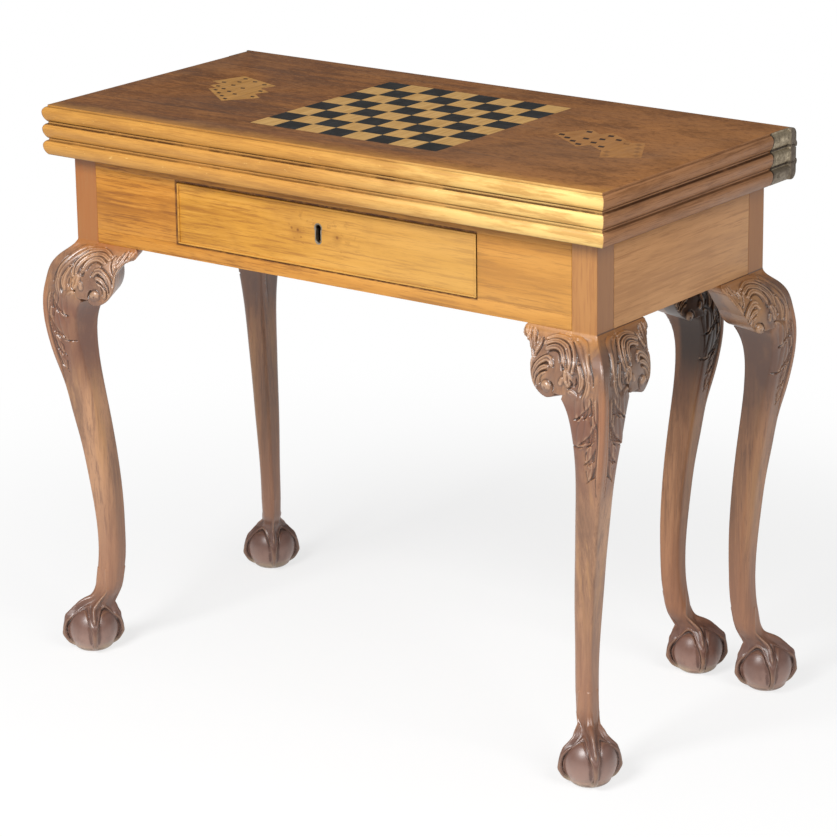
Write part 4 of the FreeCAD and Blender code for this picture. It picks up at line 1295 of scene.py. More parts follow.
KNEE_CUTS: tuple[Stroke, ...] = (
    Stroke(((21, 68), (19, 73), (20, 79), (18.5, 86)), 2.0, -3.2, 0.5, 0.5),
    Stroke(((47, 98.5), (41, 97.5), (35.5, 94)), 2.1, -3.4, 0.6, 0.5),
    Stroke(((31, 96), (27, 91.5), (24.5, 86)), 1.9, -3.0, 0.4, 0.5),
    Stroke(((29, 66), (30, 76), (28, 85)), 1.3, -1.8),
    Stroke(((45, 133.5), (38, 134), (31, 132)), 1.8, -2.6, 0.5, 0.6),
    Stroke(((25, 131.5), (20.5, 128), (17, 123)), 1.7, -2.6, 0.4, 0.5),
    Stroke(((24, 137), (26, 143), (25, 149)), 1.6, -2.4, 0.5, 0.4),
    Stroke(((22, 156), (17.5, 152), (15.5, 147)), 1.5, -2.2, 0.5, 0.4),
    Stroke(((24, 164), (22, 170), (20, 178)), 1.4, -1.8, 0.5, 0.3),
    Stroke(((16.5, 60), (16.5, 84), (13, 98), (10.6, 111), (9.8, 130), (10, 153), (9, 178), (7, 200)),
           1.5, -2.0, 0.6, 0.2),
    Stroke(((6.4, 40), (6.0, 70), (5.2, 110), (4.6, 150), (3.6, 190)), 1.1, -0.8, 0.4, 0.2),
)
KNEE_LEAVES: tuple[Points, ...] = (
    ((13.5, 62), (15.5, 88), (40, 95)),
    ((12.5, 98), (14.0, 122), (38, 131)),
    ((12.0, 130), (13.0, 148), (29, 158)),
    ((11.5, 156), (12.0, 170), (22, 182)),
)
VEIN_GATHER = 0.75
VEIN_BEND = 0.55
VEIN_SAG = 1.5
VEIN_WIDTH = 1.3
VEIN_DEPTH = 2.3
VEIN_END = 0.35


def leaf_veins(high: Pair, low: Pair, tip: Pair, count: int = 6) -> tuple[Stroke, ...]:
    """Fine cuts that sweep down one leaf of the knee.

    Args:
        high: Upper end of the leaf's root.
        low: Lower end of the leaf's root.
        tip: Tip of the leaf.
        count: Number of cuts.

    Returns:
        The cuts.
    """
    cuts = []
    for number in range(count):
        share = (number + 0.5) / count
        start = tuple(a + (b - a) * share for a, b in zip(high, low))
        end = tuple(a + (b - a) * VEIN_GATHER * share for a, b in zip(tip, low))
        middle = (VEIN_BEND * start[0] + (1.0 - VEIN_BEND) * end[0] - VEIN_SAG,
                  (1.0 - VEIN_BEND) * start[1] + VEIN_BEND * end[1])
        cuts.append(Stroke((start, middle, end), VEIN_WIDTH, -VEIN_DEPTH, end_share=VEIN_END))
    return tuple(cuts)


KNEE_VEINS = tuple(vein for leaf in KNEE_LEAVES for vein in leaf_veins(*leaf))


@dataclass(frozen=True)
class Corner:
    """Corner of the frame that a leg stands under, in millimetres, with the ways out of the frame."""

    x: float
    y: float
    way_x: int
    way_y: int
    frieze: float = 580.6

    def inboard(self, places: np.ndarray) -> tuple[np.ndarray, np.ndarray, np.ndarray]:
        """Distances inboard from the corner along X and Y, and down from the frieze.

        Args:
            places: Points in millimetres.

        Returns:
            The three distances of each point.
        """
        along_x = self.way_x * (self.x - places[:, 0])
        along_y = self.way_y * (self.y - places[:, 1])
        return along_x, along_y, self.frieze - places[:, 2]


@dataclass(frozen=True)
class Carving:
    """Relief cut into the knees, ears and feet.

    Sizes are in millimetres. A pair says where a form starts to show and where it shows in full, apart
    from flare, which is along X and Y, and from lip_shape and groove_shape, which are a middle and a half
    width. Each joint of a claw is its height, its half width and its share of the knuckle.
    """

    face_length: float = 205.0
    face_depth: float = 6.0
    facing: Pair = (0.15, 0.55)
    round_corner: Pair = (14.0, 6.0)
    ground: float = 1.0
    ground_down: Pair = (82.0, 60.0)
    ground_along: Pair = (-12.0, 8.0)
    plain_strip: Pair = (2.5, 7.5)
    ear_ridge: Pair = (3.0, 9.0)
    knee_reach: Pair = (50.0, 40.0)
    knee_start: Pair = (62.0, 76.0)
    knee_corner: Pair = (14.0, 9.0)
    rib: float = 1.4
    rib_width: Pair = (11.0, 7.0)
    rib_start: Pair = (34.0, 80.0)
    rib_end: Pair = (205.0, 150.0)
    rib_corner: Pair = (20.0, 10.0)
    swell: float = 1.2
    swell_start: Pair = (68.0, 92.0)
    swell_end: Pair = (480.0, 380.0)
    flare: Pair = (10.0, 4.5)
    flare_start: float = 77.0
    flare_length: float = 17.0
    flare_facing: Pair = (0.25, 0.85)
    lap: float = 2.4
    lap_facing: Pair = (0.2, 0.7)
    ankle_shift: float = 14.0
    ankle_levels: Pair = (38.0, 78.0)
    slim_levels: tuple[float, ...] = (
        0.0, 10.0, 20.0, 30.0, 40.0, 48.0, 55.0, 61.0, 68.0, 76.0, 85.0, 97.0, 112.0)
    across_shares: tuple[float, ...] = (
        1.09, 1.06, 1.03, 1.0, 0.95, 0.84, 0.72, 0.64, 0.63, 0.74, 0.88, 0.95, 1.0)
    along_shares: tuple[float, ...] = (
        1.10, 1.08, 1.06, 1.04, 1.0, 0.95, 0.86, 0.81, 0.80, 0.84, 0.92, 0.98, 1.0)
    foot_top: float = 115.0
    floor_levels: Pair = (3.0, 9.0)
    ball_height: float = 29.5
    ball_radius: float = 34.2
    arch_top: float = 59.0
    arch_spring: float = 24.0
    arch_reach: float = 20.0
    panel_degrees: float = 40.0
    panel_edge: Pair = (-0.5, 0.7)
    lip: float = 1.6
    lip_levels: Pair = (30.0, 46.0)
    lip_shape: Pair = (-1.5, 1.2)
    groove: float = 1.5
    groove_shape: Pair = (0.7, 0.8)
    claw_turn: float = 90.0
    claw_levels: Pair = (56.0, 86.0)
    claw_width: float = 2.6
    crest: float = 0.9
    knuckle: float = 1.6
    joints: tuple[Triple, ...] = ((46.0, 5.0, 1.0), (21.0, 4.5, 0.8))
    tendon: float = 1.7
    tendon_start: Pair = (40.0, 58.0)
    tendon_end: Pair = (92.0, 64.0)
    hollow: float = 1.0
    hollow_start: Pair = (52.0, 62.0)
    hollow_end: Pair = (80.0, 70.0)

    @staticmethod
    def ease(ends: Pair, values: np.ndarray) -> np.ndarray:
        """Smooth step from 0 at the first end to 1 at the second."""
        share = np.clip((values - ends[0]) / (ends[1] - ends[0]), 0.0, 1.0)
        return share * share * (3.0 - 2.0 * share)

    @staticmethod
    def mound(values: np.ndarray, middle: float, half_width: float) -> np.ndarray:
        """Smooth hill of height 1 round a middle value."""
        return np.exp(-((values - middle) / half_width) ** 2)

    def knee(self, corner: Corner, places: np.ndarray, normals: np.ndarray) -> np.ndarray:
        """Height of the knee's and the ears' relief.

        Args:
            corner: Corner that the leg stands under.
            places: Points in millimetres.
            normals: Their directions.

        Returns:
            Height of each point, in millimetres.
        """
        along_x, along_y, down = corner.inboard(places)
        height = np.zeros(len(places))
        for along, across, way in ((along_x, along_y, (0, corner.way_y)),
                                   (along_y, along_x, (corner.way_x, 0))):
            face = (along >= across) & (down > 0.0) & (down < self.face_length) & (across < self.face_depth)
            chosen = np.nonzero(face)[0]
            if not len(chosen):
                continue
            outward = normals[chosen, 0] * way[0] + normals[chosen, 1] * way[1]
            u, d = along[chosen], down[chosen]
            ridge = u - across[chosen]
            ear = self.cut(EAR_BANDS + EAR_CUTS, u, d)
            ear -= self.ground * self.ease(self.ground_down, d) * self.ease(self.ground_along, u)
            ear *= self.ease(self.plain_strip, d) * self.ease(self.ear_ridge, ridge)
            knee = self.cut(KNEE_LOBES + KNEE_CUTS + KNEE_VEINS, ridge, d) * self.ease(self.knee_reach, ridge)
            share = self.ease(self.knee_start, d)
            shaped = ear * (1.0 - share) + knee * np.maximum(share, self.ease(self.knee_corner, ridge))
            shaped += self.rib * self.rib_share(ridge, d)
            facing = np.maximum(self.ease(self.facing, outward), self.ease(self.round_corner, ridge))
            height[chosen] = shaped * facing
        return height

    def rib_share(self, ridge: np.ndarray, down: np.ndarray) -> np.ndarray:
        """Share of the plain rib down the knee's corner."""
        length = self.ease(self.rib_start, down) * self.ease(self.rib_end, down)
        return self.ease(self.rib_width, ridge) * length

    @staticmethod
    def cut(strokes: Iterable[Stroke], along: np.ndarray, down: np.ndarray) -> np.ndarray:
        """Height of a group of strokes.

        Args:
            strokes: Bands and cuts of the group.
            along: Distance of each point along the face.
            down: Distance of each point below the frieze.

        Returns:
            Height of each point, in millimetres.
        """
        raised = np.zeros(len(along))
        sunk = np.zeros(len(along))
        for stroke in strokes:
            stroke.add(along, down, raised, sunk)
        return raised - sunk

    def slim(self, centre: Pair, corner: Corner, places: np.ndarray) -> np.ndarray:
        """Draws the ankle in above the claws.

        Args:
            centre: Middle of the ball, seen from above, in millimetres.
            corner: Corner that the leg stands under.
            places: Points in millimetres.

        Returns:
            The moved points.
        """
        level = places[:, 2]
        shift = self.ankle_shift * self.ease(self.ankle_levels, level)
        east = corner.way_x * (places[:, 0] - centre[0]) + shift
        north = corner.way_y * (places[:, 1] - centre[1]) + shift
        along = (east + north) / 2.0 * np.interp(level, self.slim_levels, self.along_shares)
        across = (east - north) / 2.0 * np.interp(level, self.slim_levels, self.across_shares)
        moved = places.copy()
        moved[:, 0] = centre[0] + corner.way_x * (along + across - shift)
        moved[:, 1] = centre[1] + corner.way_y * (along - across - shift)
        return moved

    def spread(self, corner: Corner, places: np.ndarray, normals: np.ndarray) -> np.ndarray:
        """Flares the leg's inboard sides where the ears sit on them.

        Args:
            corner: Corner that the leg stands under.
            places: Points in millimetres.
            normals: Their directions.

        Returns:
            The moved points.
        """
        down = corner.frieze - places[:, 2]
        reach = np.exp(-np.abs(down - self.flare_start) / self.flare_length) * (down > 0.0)
        moved = places.copy()
        for axis, way in ((0, corner.way_x), (1, corner.way_y)):
            inboard = self.ease(self.flare_facing, -way * normals[:, axis])
            moved[:, axis] -= way * self.flare[axis] * reach * inboard
        return moved

    def foot(self, centre: Pair, corner: Corner, places: np.ndarray) -> np.ndarray:
        """Height of the webs between the claws and of the knuckles on them.

        Args:
            centre: Middle of the ball, seen from above, in millimetres.
            corner: Corner that the leg stands under.
            places: Points in millimetres.

        Returns:
            Height of each point, in millimetres.
        """
        east = places[:, 0] - centre[0]
        north = places[:, 1] - centre[1]
        level = places[:, 2]
        shift = self.ankle_shift * self.ease(self.claw_levels, level)
        turn = np.degrees(np.arctan2(north + corner.way_y * shift, east + corner.way_x * shift))
        from_claw = np.abs(turn % self.claw_turn - self.claw_turn / 2.0)
        reach = np.hypot(east, north)
        from_ball = np.hypot(reach, level - self.ball_height)
        aside = (self.claw_turn / 2.0 - from_claw) / self.panel_degrees
        rise = np.clip(level - self.arch_spring, 0.0, None) / (self.arch_top - self.arch_spring)
        inside = self.arch_reach * (1.0 - np.hypot(aside, rise))
        panel = self.ease(self.panel_edge, inside) * (self.ball_radius - from_ball)
        rim = self.lip * self.ease(self.lip_levels, level) * self.mound(inside, *self.lip_shape)
        rim -= self.groove * self.mound(inside, *self.groove_shape)
        claw = self.mound(np.radians(from_claw) * reach, 0.0, self.claw_width)
        joints = sum(share * self.mound(level, middle, width) for middle, width, share in self.joints)
        sinew = self.tendon * self.ease(self.tendon_start, level) * self.ease(self.tendon_end, level)
        raised = claw * (self.crest + self.knuckle * joints + sinew)
        hollow = self.hollow * self.ease(self.hollow_start, level) * self.ease(self.hollow_end, level)
        return self.ease(self.floor_levels, level) * (panel + rim + raised - hollow * (1.0 - claw))


@dataclass
class CarvedLegs:
    """Five cabriole legs with ball-and-claw feet, and the ears glued beside their knees.

    Places are in millimetres, and each foot's is the middle of its ball, seen from above.
    """

    finishes: Finishes
    voxel: float = 0.9 * MM
    smooth_share: float = 0.5
    smooth_rounds: int = 3
    most_triangles: int = 185000
    blur_rounds: int = 10
    broad_rounds: int = 60
    broad_share: float = 0.35
    mark_range: float = 3.0
    half_width: float = 419.0
    half_depth: float = 191.0
    gate_x: float = 310.0
    gate_y: float = 191.5
    front_foot: Pair = (414.4, -197.4)
    back_foot: Pair = (424.4, 206.4)
    gate_foot: Pair = (315.4, 206.9)
    carving: Carving = Carving()

    def build(self) -> None:
        """Carves every leg and ear."""
        front = Corner(self.half_width, -self.half_depth, 1, -1)
        back = Corner(self.half_width, self.half_depth, 1, 1)
        gate = Corner(self.gate_x, self.gate_y, 1, 1)
        leg, back_leg = self.finishes.leg, self.finishes.back_leg
        for node, corner, foot, lap in (("front_right_leg", front, self.front_foot, None),
                                        ("back_right_leg", back, self.back_foot, None),
                                        ("front_right_knee_block_front", front, None, (1, 0)),
                                        ("front_right_knee_block_side", front, None, (0, -1)),
                                        ("back_right_knee_block", back, None, (0, 1))):
            piece = self.carve(node, corner, foot, lap)
            finish = back_leg if corner is back else leg
            self.set_up(piece, node, "frame", finish)
            self.set_up(self.mirror(piece), node.replace("right", "left"), "frame", finish)
        for node, foot, lap in (("gate_leg", self.gate_foot, None), ("gate_knee_block", None, (1, 0))):
            piece = self.carve(node, gate, foot, lap)
            self.set_up(piece, node, "gate", self.finishes.gate_leg)

    @staticmethod
    def set_up(piece: bpy.types.Object, node: str, body: str, finish: bpy.types.Material) -> None:
        """Dresses a carved piece and stands it for its node."""
        Shop.hand_over(piece, body, "leg_walnut", finish, node)

    def carve(self, node: str, corner: Corner, foot: Optional[Pair],
              lap: Optional[tuple[int, int]]) -> bpy.types.Object:
        """Cuts the relief into a fine copy of a node.

        Args:
            node: Node to copy.
            corner: Corner that the leg stands under.
            foot: Middle of the ball, for a whole leg.
            lap: Way from an ear to its leg, for an ear.

        Returns:
            The carved piece.
        """
        piece = Shop.copy(node, f"{node}_carved")
        Shop.modify(piece, "REMESH", mode="VOXEL", voxel_size=self.voxel, use_smooth_shade=True)
        Shop.modify(piece, "SMOOTH", factor=self.smooth_share, iterations=self.smooth_rounds)
        places, normals = self.read(piece.data)
        if lap is not None:
            towards = normals[:, 0] * lap[0] + normals[:, 1] * lap[1]
            shift = self.carving.lap * self.carving.ease(self.carving.lap_facing, towards)
            places[:, :2] += shift[:, None] * np.array(lap, float)
        else:
            places = self.carving.spread(corner, places, normals)
        if foot is not None:
            places = self.carving.slim(foot, corner, places)
        self.write(piece.data, places)
        places, normals = self.read(piece.data)
        height = self.relief(places, normals, corner, foot)
        self.write(piece.data, places + normals * height[:, None])
        self.mark(piece.data, height)
        along_x, along_y, down = corner.inboard(places)
        outer = self.carving.ease(self.carving.rib_corner, np.maximum(along_x, along_y))
        self.label(piece.data, "rib", outer * self.carving.rib_share(np.abs(along_x - along_y), down))
        triangles = sum(len(face.vertices) - 2 for face in piece.data.polygons)
        if triangles > self.most_triangles:
            Shop.modify(piece, "DECIMATE", ratio=self.most_triangles / triangles)
        Shop.take(piece)
        bpy.ops.object.shade_smooth()
        return piece

    @staticmethod
    def write(mesh: bpy.types.Mesh, places: np.ndarray) -> None:
        """Moves a mesh's points to places given in millimetres."""
        mesh.vertices.foreach_set("co", (places * MM).astype(np.float32).ravel())
        mesh.update()

    def mark(self, mesh: bpy.types.Mesh, height: np.ndarray) -> None:
        """Writes how far each point stands above or below the relief round it, for the finish.

        Args:
            mesh: Mesh to write on.
            height: Height of each point's relief, in millimetres.
        """
        ends = np.empty(len(mesh.edges) * 2, np.int32)
        mesh.edges.foreach_get("vertices", ends)
        first, second = ends[0::2], ends[1::2]
        count = len(height)
        links = np.bincount(first, minlength=count) + np.bincount(second, minlength=count)
        blurred = height
        close = height
        for number in range(self.broad_rounds):
            total = np.bincount(first, blurred[second], count) + np.bincount(second, blurred[first], count)
            blurred = total / np.maximum(links, 1)
            if number + 1 == self.blur_rounds:
                close = blurred
        proud = (height - close) + self.broad_share * (height - blurred)
        self.label(mesh, "relief", np.clip(0.5 + proud / self.mark_range, 0.0, 1.0))

    @staticmethod
    def label(mesh: bpy.types.Mesh, name: str, values: np.ndarray) -> None:
        """Writes a number at each of a mesh's points, for the finish."""
        layer = mesh.attributes.new(name, "FLOAT", "POINT")
        layer.data.foreach_set("value", values.astype(np.float32))

    @staticmethod
    def read(mesh: bpy.types.Mesh) -> tuple[np.ndarray, np.ndarray]:
        """Reads a mesh.

        Args:
            mesh: Mesh to read.

        Returns:
            Its points in millimetres and their directions.
        """
        places = np.empty(len(mesh.vertices) * 3, np.float32)
        mesh.vertices.foreach_get("co", places)
        normals = np.empty(len(mesh.vertices) * 3, np.float32)
        mesh.vertices.foreach_get("normal", normals)
        return places.reshape(-1, 3).astype(float) / MM, normals.reshape(-1, 3).astype(float)

    def relief(self, places: np.ndarray, normals: np.ndarray, corner: Corner,
               foot: Optional[Pair]) -> np.ndarray:
        """Height of the relief on a leg or an ear.

        Args:
            places: Points in millimetres.
            normals: Their directions.
            corner: Corner that the leg stands under.
            foot: Middle of the ball, for a whole leg.

        Returns:
            Height of each point, in millimetres.
        """
        carving = self.carving
        height = carving.knee(corner, places, normals)
        if foot is not None:
            level = places[:, 2]
            low = level < carving.foot_top
            height[low] = carving.foot(foot, corner, places[low])
            height += (carving.swell * carving.ease(carving.swell_start, level)
                       * carving.ease(carving.swell_end, level))
        return height

    @staticmethod
    def mirror(piece: bpy.types.Object) -> bpy.types.Object:
        """Copies a right-hand piece to the left.

        Args:
            piece: Piece to copy.

        Returns:
            The left-hand piece.
        """
        twin = bpy.data.objects.new(piece.name.replace("right", "left"), piece.data.copy())
        bpy.context.scene.collection.objects.link(twin)
        Shop.take(twin)
        Shop.edit()
        bpy.ops.transform.mirror(orient_type="GLOBAL", constraint_axis=(True, False, False),
                                 center_override=(0.0, 0.0, 0.0))
        bpy.ops.mesh.normals_make_consistent(inside=False)
        bpy.ops.object.mode_set(mode="OBJECT")
        return twin


@dataclass
class FoldingTop:
    """Three hinged leaves, the inlay of the closed top and the baize between the leaves."""

    finishes: Finishes
    arris: float = 0.7 * MM
    cloth: Pair = (0.780, 0.379)
    cloth_cuts: int = 40
    cloth_degrees: float = 40.0
    left_growth: float = 1.1
    right_growth: float = 1.5
    pip_rise: float = 0.04 * MM

    def build(self) -> None:
        """Dresses the leaves, the inlay and the cloth."""
        for node, body, finish in (("top_leaf", "top_leaf", self.finishes.top_leaf),
                                   ("middle_leaf", "middle_leaf", self.finishes.middle_leaf),
                                   ("bottom_leaf", "frame", self.finishes.bottom_leaf)):
            Shop.ease(node, body, "leaf_walnut", finish, self.arris)
        for finish, node in ((self.finishes.dark_inlay, "chessboard_dark_squares"),
                             (self.finishes.light_inlay, "chessboard_light_squares"),
                             (self.finishes.left_card, "left_card_inlay"),
                             (self.finishes.right_card, "right_card_inlay")):
            Shop.dress(finish, node)
        self.spread_pips("card_pips")
        for leaf, body in (("bottom_leaf", "frame"), ("middle_leaf", "middle_leaf")):
            self.lay_cloth(f"{leaf}_baize", body)

    def spread_pips(self, node: str) -> None:
        """Stands fuller pips, a hair proud of the cards, for the plain ones.

        Args:
            node: Node that holds the plain pips.
        """
        piece = Shop.copy(node, f"{node}_full")
        Shop.edit()
        bpy.ops.mesh.separate(type="LOOSE")
        bpy.ops.object.mode_set(mode="OBJECT")
        bpy.ops.object.origin_set(type="ORIGIN_GEOMETRY", center="BOUNDS")
        for pip in bpy.context.selected_objects:
            growth = self.right_growth if pip.location.x > 0.0 else self.left_growth
            pip.scale = (growth, growth, 1.0)
            pip.location.z += self.pip_rise
        bpy.ops.object.transform_apply(location=True, rotation=True, scale=True)
        bpy.context.view_layer.objects.active = piece
        bpy.ops.object.join()
        Shop.hand_over(piece, "top_leaf", "dark_inlay", self.finishes.pips, node)

    def lay_cloth(self, node: str, body: str) -> None:
        """Lays one sheet of baize in its recess.

        Args:
            node: Node that the sheet stands for.
            body: Body that carries the leaf.
        """
        low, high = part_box(node)
        bpy.ops.object.select_all(action="DESELECT")
        bpy.ops.mesh.primitive_plane_add(size=1.0, location=(low + high) / 2.0)
        sheet = bpy.context.active_object
        sheet.name = f"{node}_cloth"
        sheet.scale = (high.x - low.x, high.y - low.y, 1.0)
        bpy.ops.object.transform_apply(location=True, rotation=True, scale=True)
        Shop.edit()
        bpy.ops.mesh.subdivide(number_cuts=self.cloth_cuts)
        bpy.ops.object.mode_set(mode="OBJECT")
        Shop.modify(sheet, "SOLIDIFY", thickness=high.z - low.z, offset=0.0)
        bpy.ops.object.shade_smooth_by_angle(angle=math.radians(self.cloth_degrees))
        Shop.hand_over(sheet, body, "baize", self.finishes.baize, node)


@dataclass
class Hinges:
    """Brass plates let into the back ends of the leaves, filed to their moulding, with their pins and screws.

    Sizes are in millimetres, apart from the voxel's. The moulding's are measured from a leaf's underside.
    """

    finishes: Finishes
    voxel: float = 0.6 * MM
    half_top: float = 448.0
    plate: float = 5.0
    most_filed: float = 4.6
    strap: Pair = (205.0, 209.0)
    leaf_back: float = 220.0
    eye_share: float = 0.45
    nose_tip: float = 13.4
    low_radius: float = 20.5
    high_radius: float = 6.5
    smooth_degrees: float = 38.0

    def build(self) -> None:
        """Files and dresses the hinge plates, and dresses their pins and screws."""
        for level, body in (("top", "top_leaf"), ("middle", "middle_leaf"), ("bottom", "frame")):
            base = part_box(f"{level}_leaf")[0].z / MM
            for side in ("left", "right"):
                node = f"{level}_{side}_hinge_plate"
                Shop.hand_over(self.file(node, base), body, "hinge_brass", self.finishes.brass, node)
            Shop.dress(self.finishes.brass, f"{level}_hinge_screws")
        Shop.dress(self.finishes.brass, "upper_hinge_pins", "lower_hinge_pins")

    def file(self, node: str, base: float) -> bpy.types.Object:
        """Files a plate to its leaf's moulding, apart from the strap at the back.

        Args:
            node: Plate to copy.
            base: Height of the leaf's underside.

        Returns:
            The filed plate.
        """
        piece = Shop.copy(node, f"{node}_filed")
        Shop.modify(piece, "REMESH", mode="VOXEL", voxel_size=self.voxel, use_smooth_shade=True)
        places, _ = CarvedLegs.read(piece.data)
        x, y, z = places.T
        depth = np.abs(x) - (self.half_top - self.plate)
        plain = Carving.ease(self.strap, y)
        filed = self.inset(z - base) * (1.0 - plain)
        places[:, 0] = np.sign(x) * (self.half_top - self.plate + depth * (1.0 - filed / self.plate))
        past = np.maximum(y - self.leaf_back, 0.0)
        places[:, 1] = y - past * (1.0 - self.eye_share)
        CarvedLegs.write(piece.data, places)
        Shop.take(piece)
        bpy.ops.object.shade_smooth_by_angle(angle=math.radians(self.smooth_degrees))
        return piece

    def inset(self, height: np.ndarray) -> np.ndarray:
        """How far the moulding lies inside its nose at a height above the leaf's underside."""
        gap = height - self.nose_tip
        radius = np.where(gap < 0.0, self.low_radius, self.high_radius)
        return np.minimum(radius - np.sqrt(np.maximum(radius ** 2 - gap ** 2, 0.0)), self.most_filed)


@dataclass
class Frieze:
    """Rails and panels under the top, with the carcase behind them."""

    finishes: Finishes
    arris: float = 0.5 * MM

    def build(self) -> None:
        """Eases and dresses the rails and dresses the carcase."""
        for node in ("front_top_rail", "front_bottom_rail", "front_left_panel", "front_right_panel"):
            Shop.ease(node, "frame", "frieze_walnut", self.finishes.front, self.arris)
        for node in ("left_side_rail", "right_side_rail"):
            Shop.ease(node, "frame", "frieze_walnut", self.finishes.side, self.arris)
        Shop.dress(self.finishes.carcase_x, "inner_back_rail", "fixed_knuckle_rail", "drawer_stops")
        Shop.dress(self.finishes.carcase_z, "corner_blocks")
        Shop.dress(self.finishes.lining, "drawer_runners", "drawer_guides", "drawer_kickers")
        Shop.dress(self.finishes.steel, "top_fixing_screws", "gate_hinge_pin")


@dataclass
class Drawer:
    """Drawer with its front, beads, lining and lock; the keyhole's sizes are in millimetres."""

    finishes: Finishes
    arris: float = 0.5 * MM
    keyhole: Pair = (-7.3, 645.5)
    keyhole_reach: float = 14.0
    keyhole_growth: float = 1.4

    def build(self) -> None:
        """Eases and dresses the front and dresses the rest."""
        front = Shop.ease("drawer_front", "drawer", "frieze_walnut", self.finishes.drawer, self.arris)
        self.widen(front)
        liner = Shop.copy("keyhole_escutcheon", "keyhole_escutcheon_worn")
        self.widen(liner)
        Shop.hand_over(liner, "drawer", "hinge_brass", self.finishes.liner, "keyhole_escutcheon")
        Shop.ease("drawer_cock_beads", "drawer", "frieze_walnut", self.finishes.drawer, self.arris)
        Shop.dress(self.finishes.lining, "drawer_left_side", "drawer_right_side", "drawer_back",
                   "drawer_bottom")
        Shop.dress(self.finishes.brass, "lock_case", "lock_bolt")
        Shop.dress(self.finishes.steel, "lock_screws")

    def widen(self, piece: bpy.types.Object) -> None:
        """Opens the keyhole to its worn size.

        Args:
            piece: Drawer front or liner, whose only points near the keyhole are its own.
        """
        places, _ = CarvedLegs.read(piece.data)
        east = places[:, 0] - self.keyhole[0]
        up = places[:, 2] - self.keyhole[1]
        growth = np.where(np.hypot(east, up) < self.keyhole_reach, self.keyhole_growth, 1.0)
        places[:, 0] = self.keyhole[0] + east * growth
        places[:, 2] = self.keyhole[1] + up * growth
        CarvedLegs.write(piece.data, places)


@dataclass
class Gate:
    """Rail that swings the fifth leg out behind the frame."""

    finishes: Finishes
    arris: float = 0.8 * MM

    def build(self) -> None:
        """Eases and dresses the swinging rail."""
        Shop.ease("fly_rail", "gate", "carcase_beech", self.finishes.carcase_x, self.arris)


@dataclass(frozen=True)
class Lamp:
    """Square soft light, with its place and side in metres and its power in watts."""

    name: str
    place: Triple
    side: float
    power: float


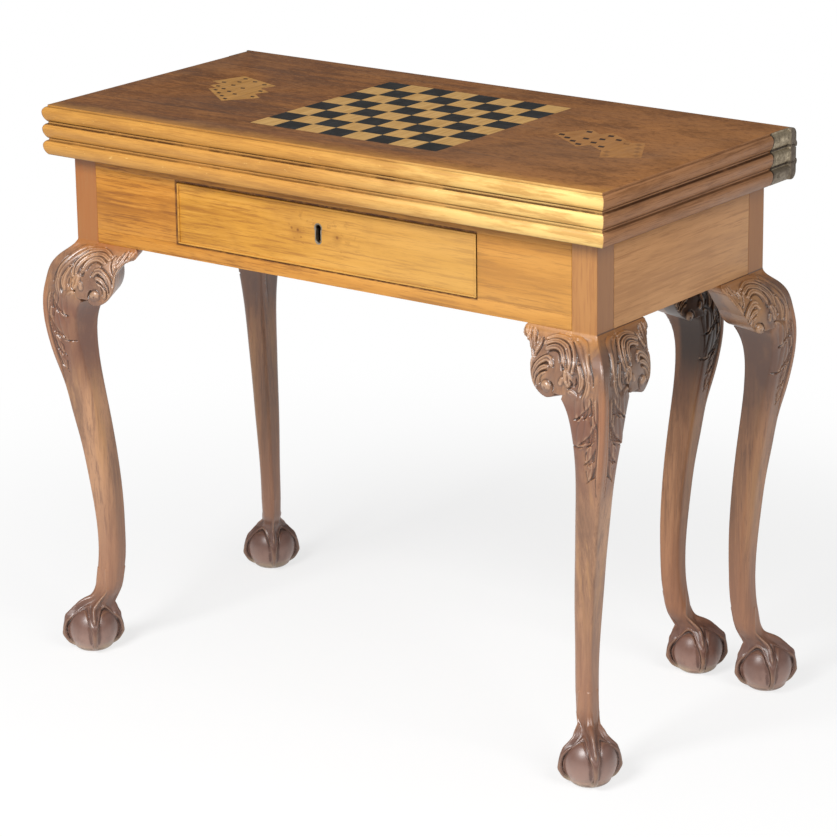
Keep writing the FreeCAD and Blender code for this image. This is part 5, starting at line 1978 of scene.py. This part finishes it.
@dataclass
class Studio:
    """Pale floor, soft lights and the camera."""

    eye: Triple = (2.7394, -3.6385, 1.7771)
    aim: Triple = (0.00455, 0.0, 0.35323)
    roll_degrees: float = -0.756
    lens: float = 154.0
    sensor: float = 36.0
    floor_size: float = 30.0
    shadow_radius: float = 0.4
    white_radius: float = 1.5
    least_white: float = 0.72
    paper: Colour = shade(0.90, 0.90, 0.90)
    paper_roughness: float = 0.9
    white: Colour = shade(1.0, 1.0, 1.0)
    sky: float = 0.26
    lamps: tuple[Lamp, ...] = (Lamp("key", (-0.2, -3.3, 3.1), 1.5, 165.0),
                               Lamp("fill", (2.9, -0.9, 2.6), 1.8, 55.0))
    lamp_aim: Triple = (0.0, 0.0, 0.45)

    def build(self) -> None:
        """Sets the stage."""
        self.floor()
        self.world()
        for lamp in self.lamps:
            self.light(lamp)
        self.camera()

    def floor(self) -> None:
        """Lays the pale floor."""
        bpy.ops.object.select_all(action="DESELECT")
        bpy.ops.mesh.primitive_plane_add(size=self.floor_size)
        plane = bpy.context.active_object
        plane.name = "floor"
        bench = Bench("pale_floor")
        material = bench.finish(self.paper, self.paper_roughness, Specular_IOR_Level=0.0)
        flat = bench.node("ShaderNodeVectorMath", operation="LENGTH")
        bench.feed(bench.place, flat.inputs[0])
        paling = Fade(self.shadow_radius, self.white_radius, 1.0, self.least_white)
        rays = bench.node("ShaderNodeLightPath")
        seen = bench.most(rays.outputs["Is Camera Ray"], rays.outputs["Is Glossy Ray"])
        white = bench.node("ShaderNodeEmission")
        choice = bench.node("ShaderNodeMixShader")
        far = bench.share((flat.outputs["Value"], paling), seen)
        for number, source in enumerate((far, bench.shader.outputs[0], white.outputs[0])):
            bench.feed(source, choice.inputs[number])
        bench.feed(choice.outputs[0], bench.tree.nodes["Material Output"].inputs["Surface"])
        plane.data.materials.append(material)

    def world(self) -> None:
        """Lights the room softly and shows white behind the object."""
        world = bpy.data.worlds.new("studio")
        bpy.context.scene.world = world
        world.use_nodes = True
        tree = world.node_tree
        sky = tree.nodes["Background"]
        sky.inputs["Color"].default_value = self.white
        sky.inputs["Strength"].default_value = self.sky
        white = tree.nodes.new("ShaderNodeBackground")
        white.inputs["Color"].default_value = self.white
        seen = tree.nodes.new("ShaderNodeLightPath")
        either = tree.nodes.new("ShaderNodeMath")
        either.operation = "MAXIMUM"
        choice = tree.nodes.new("ShaderNodeMixShader")
        for source, target in ((seen.outputs["Is Camera Ray"], either.inputs[0]),
                               (seen.outputs["Is Transmission Ray"], either.inputs[1]),
                               (either.outputs[0], choice.inputs[0]),
                               (sky.outputs[0], choice.inputs[1]),
                               (white.outputs[0], choice.inputs[2]),
                               (choice.outputs[0], tree.nodes["World Output"].inputs["Surface"])):
            tree.links.new(source, target)

    def light(self, lamp: Lamp) -> None:
        """Hangs a soft light that faces the table.

        Args:
            lamp: The light.
        """
        data = bpy.data.lights.new(lamp.name, "AREA")
        data.shape = "SQUARE"
        data.size = lamp.side
        data.energy = lamp.power
        holder = bpy.data.objects.new(lamp.name, data)
        bpy.context.scene.collection.objects.link(holder)
        holder.location = lamp.place
        look = Vector(self.lamp_aim) - Vector(lamp.place)
        holder.rotation_euler = look.to_track_quat("-Z", "Y").to_euler()

    def camera(self) -> None:
        """Stands the camera where the photograph was taken from."""
        data = bpy.data.cameras.new("camera")
        data.lens = self.lens
        data.sensor_width = self.sensor
        camera = bpy.data.objects.new("camera", data)
        bpy.context.scene.collection.objects.link(camera)
        look = (Vector(self.aim) - Vector(self.eye)).to_track_quat("-Z", "Y")
        roll = Quaternion((0.0, 0.0, 1.0), math.radians(self.roll_degrees))
        camera.location = self.eye
        camera.rotation_euler = (look @ roll).to_euler()
        bpy.context.scene.camera = camera


def main() -> None:
    """Builds and dresses the table, piece by piece."""
    logging.basicConfig(level=logging.INFO, format="%(name)s %(message)s")
    bpy.context.scene.view_settings.view_transform = "Standard"
    finishes = Finishes()
    for assembly in (FoldingTop(finishes), Hinges(finishes), Frieze(finishes), Drawer(finishes),
                     Gate(finishes), CarvedLegs(finishes), Studio()):
        assembly.build()


if __name__ == "__main__":
    main()
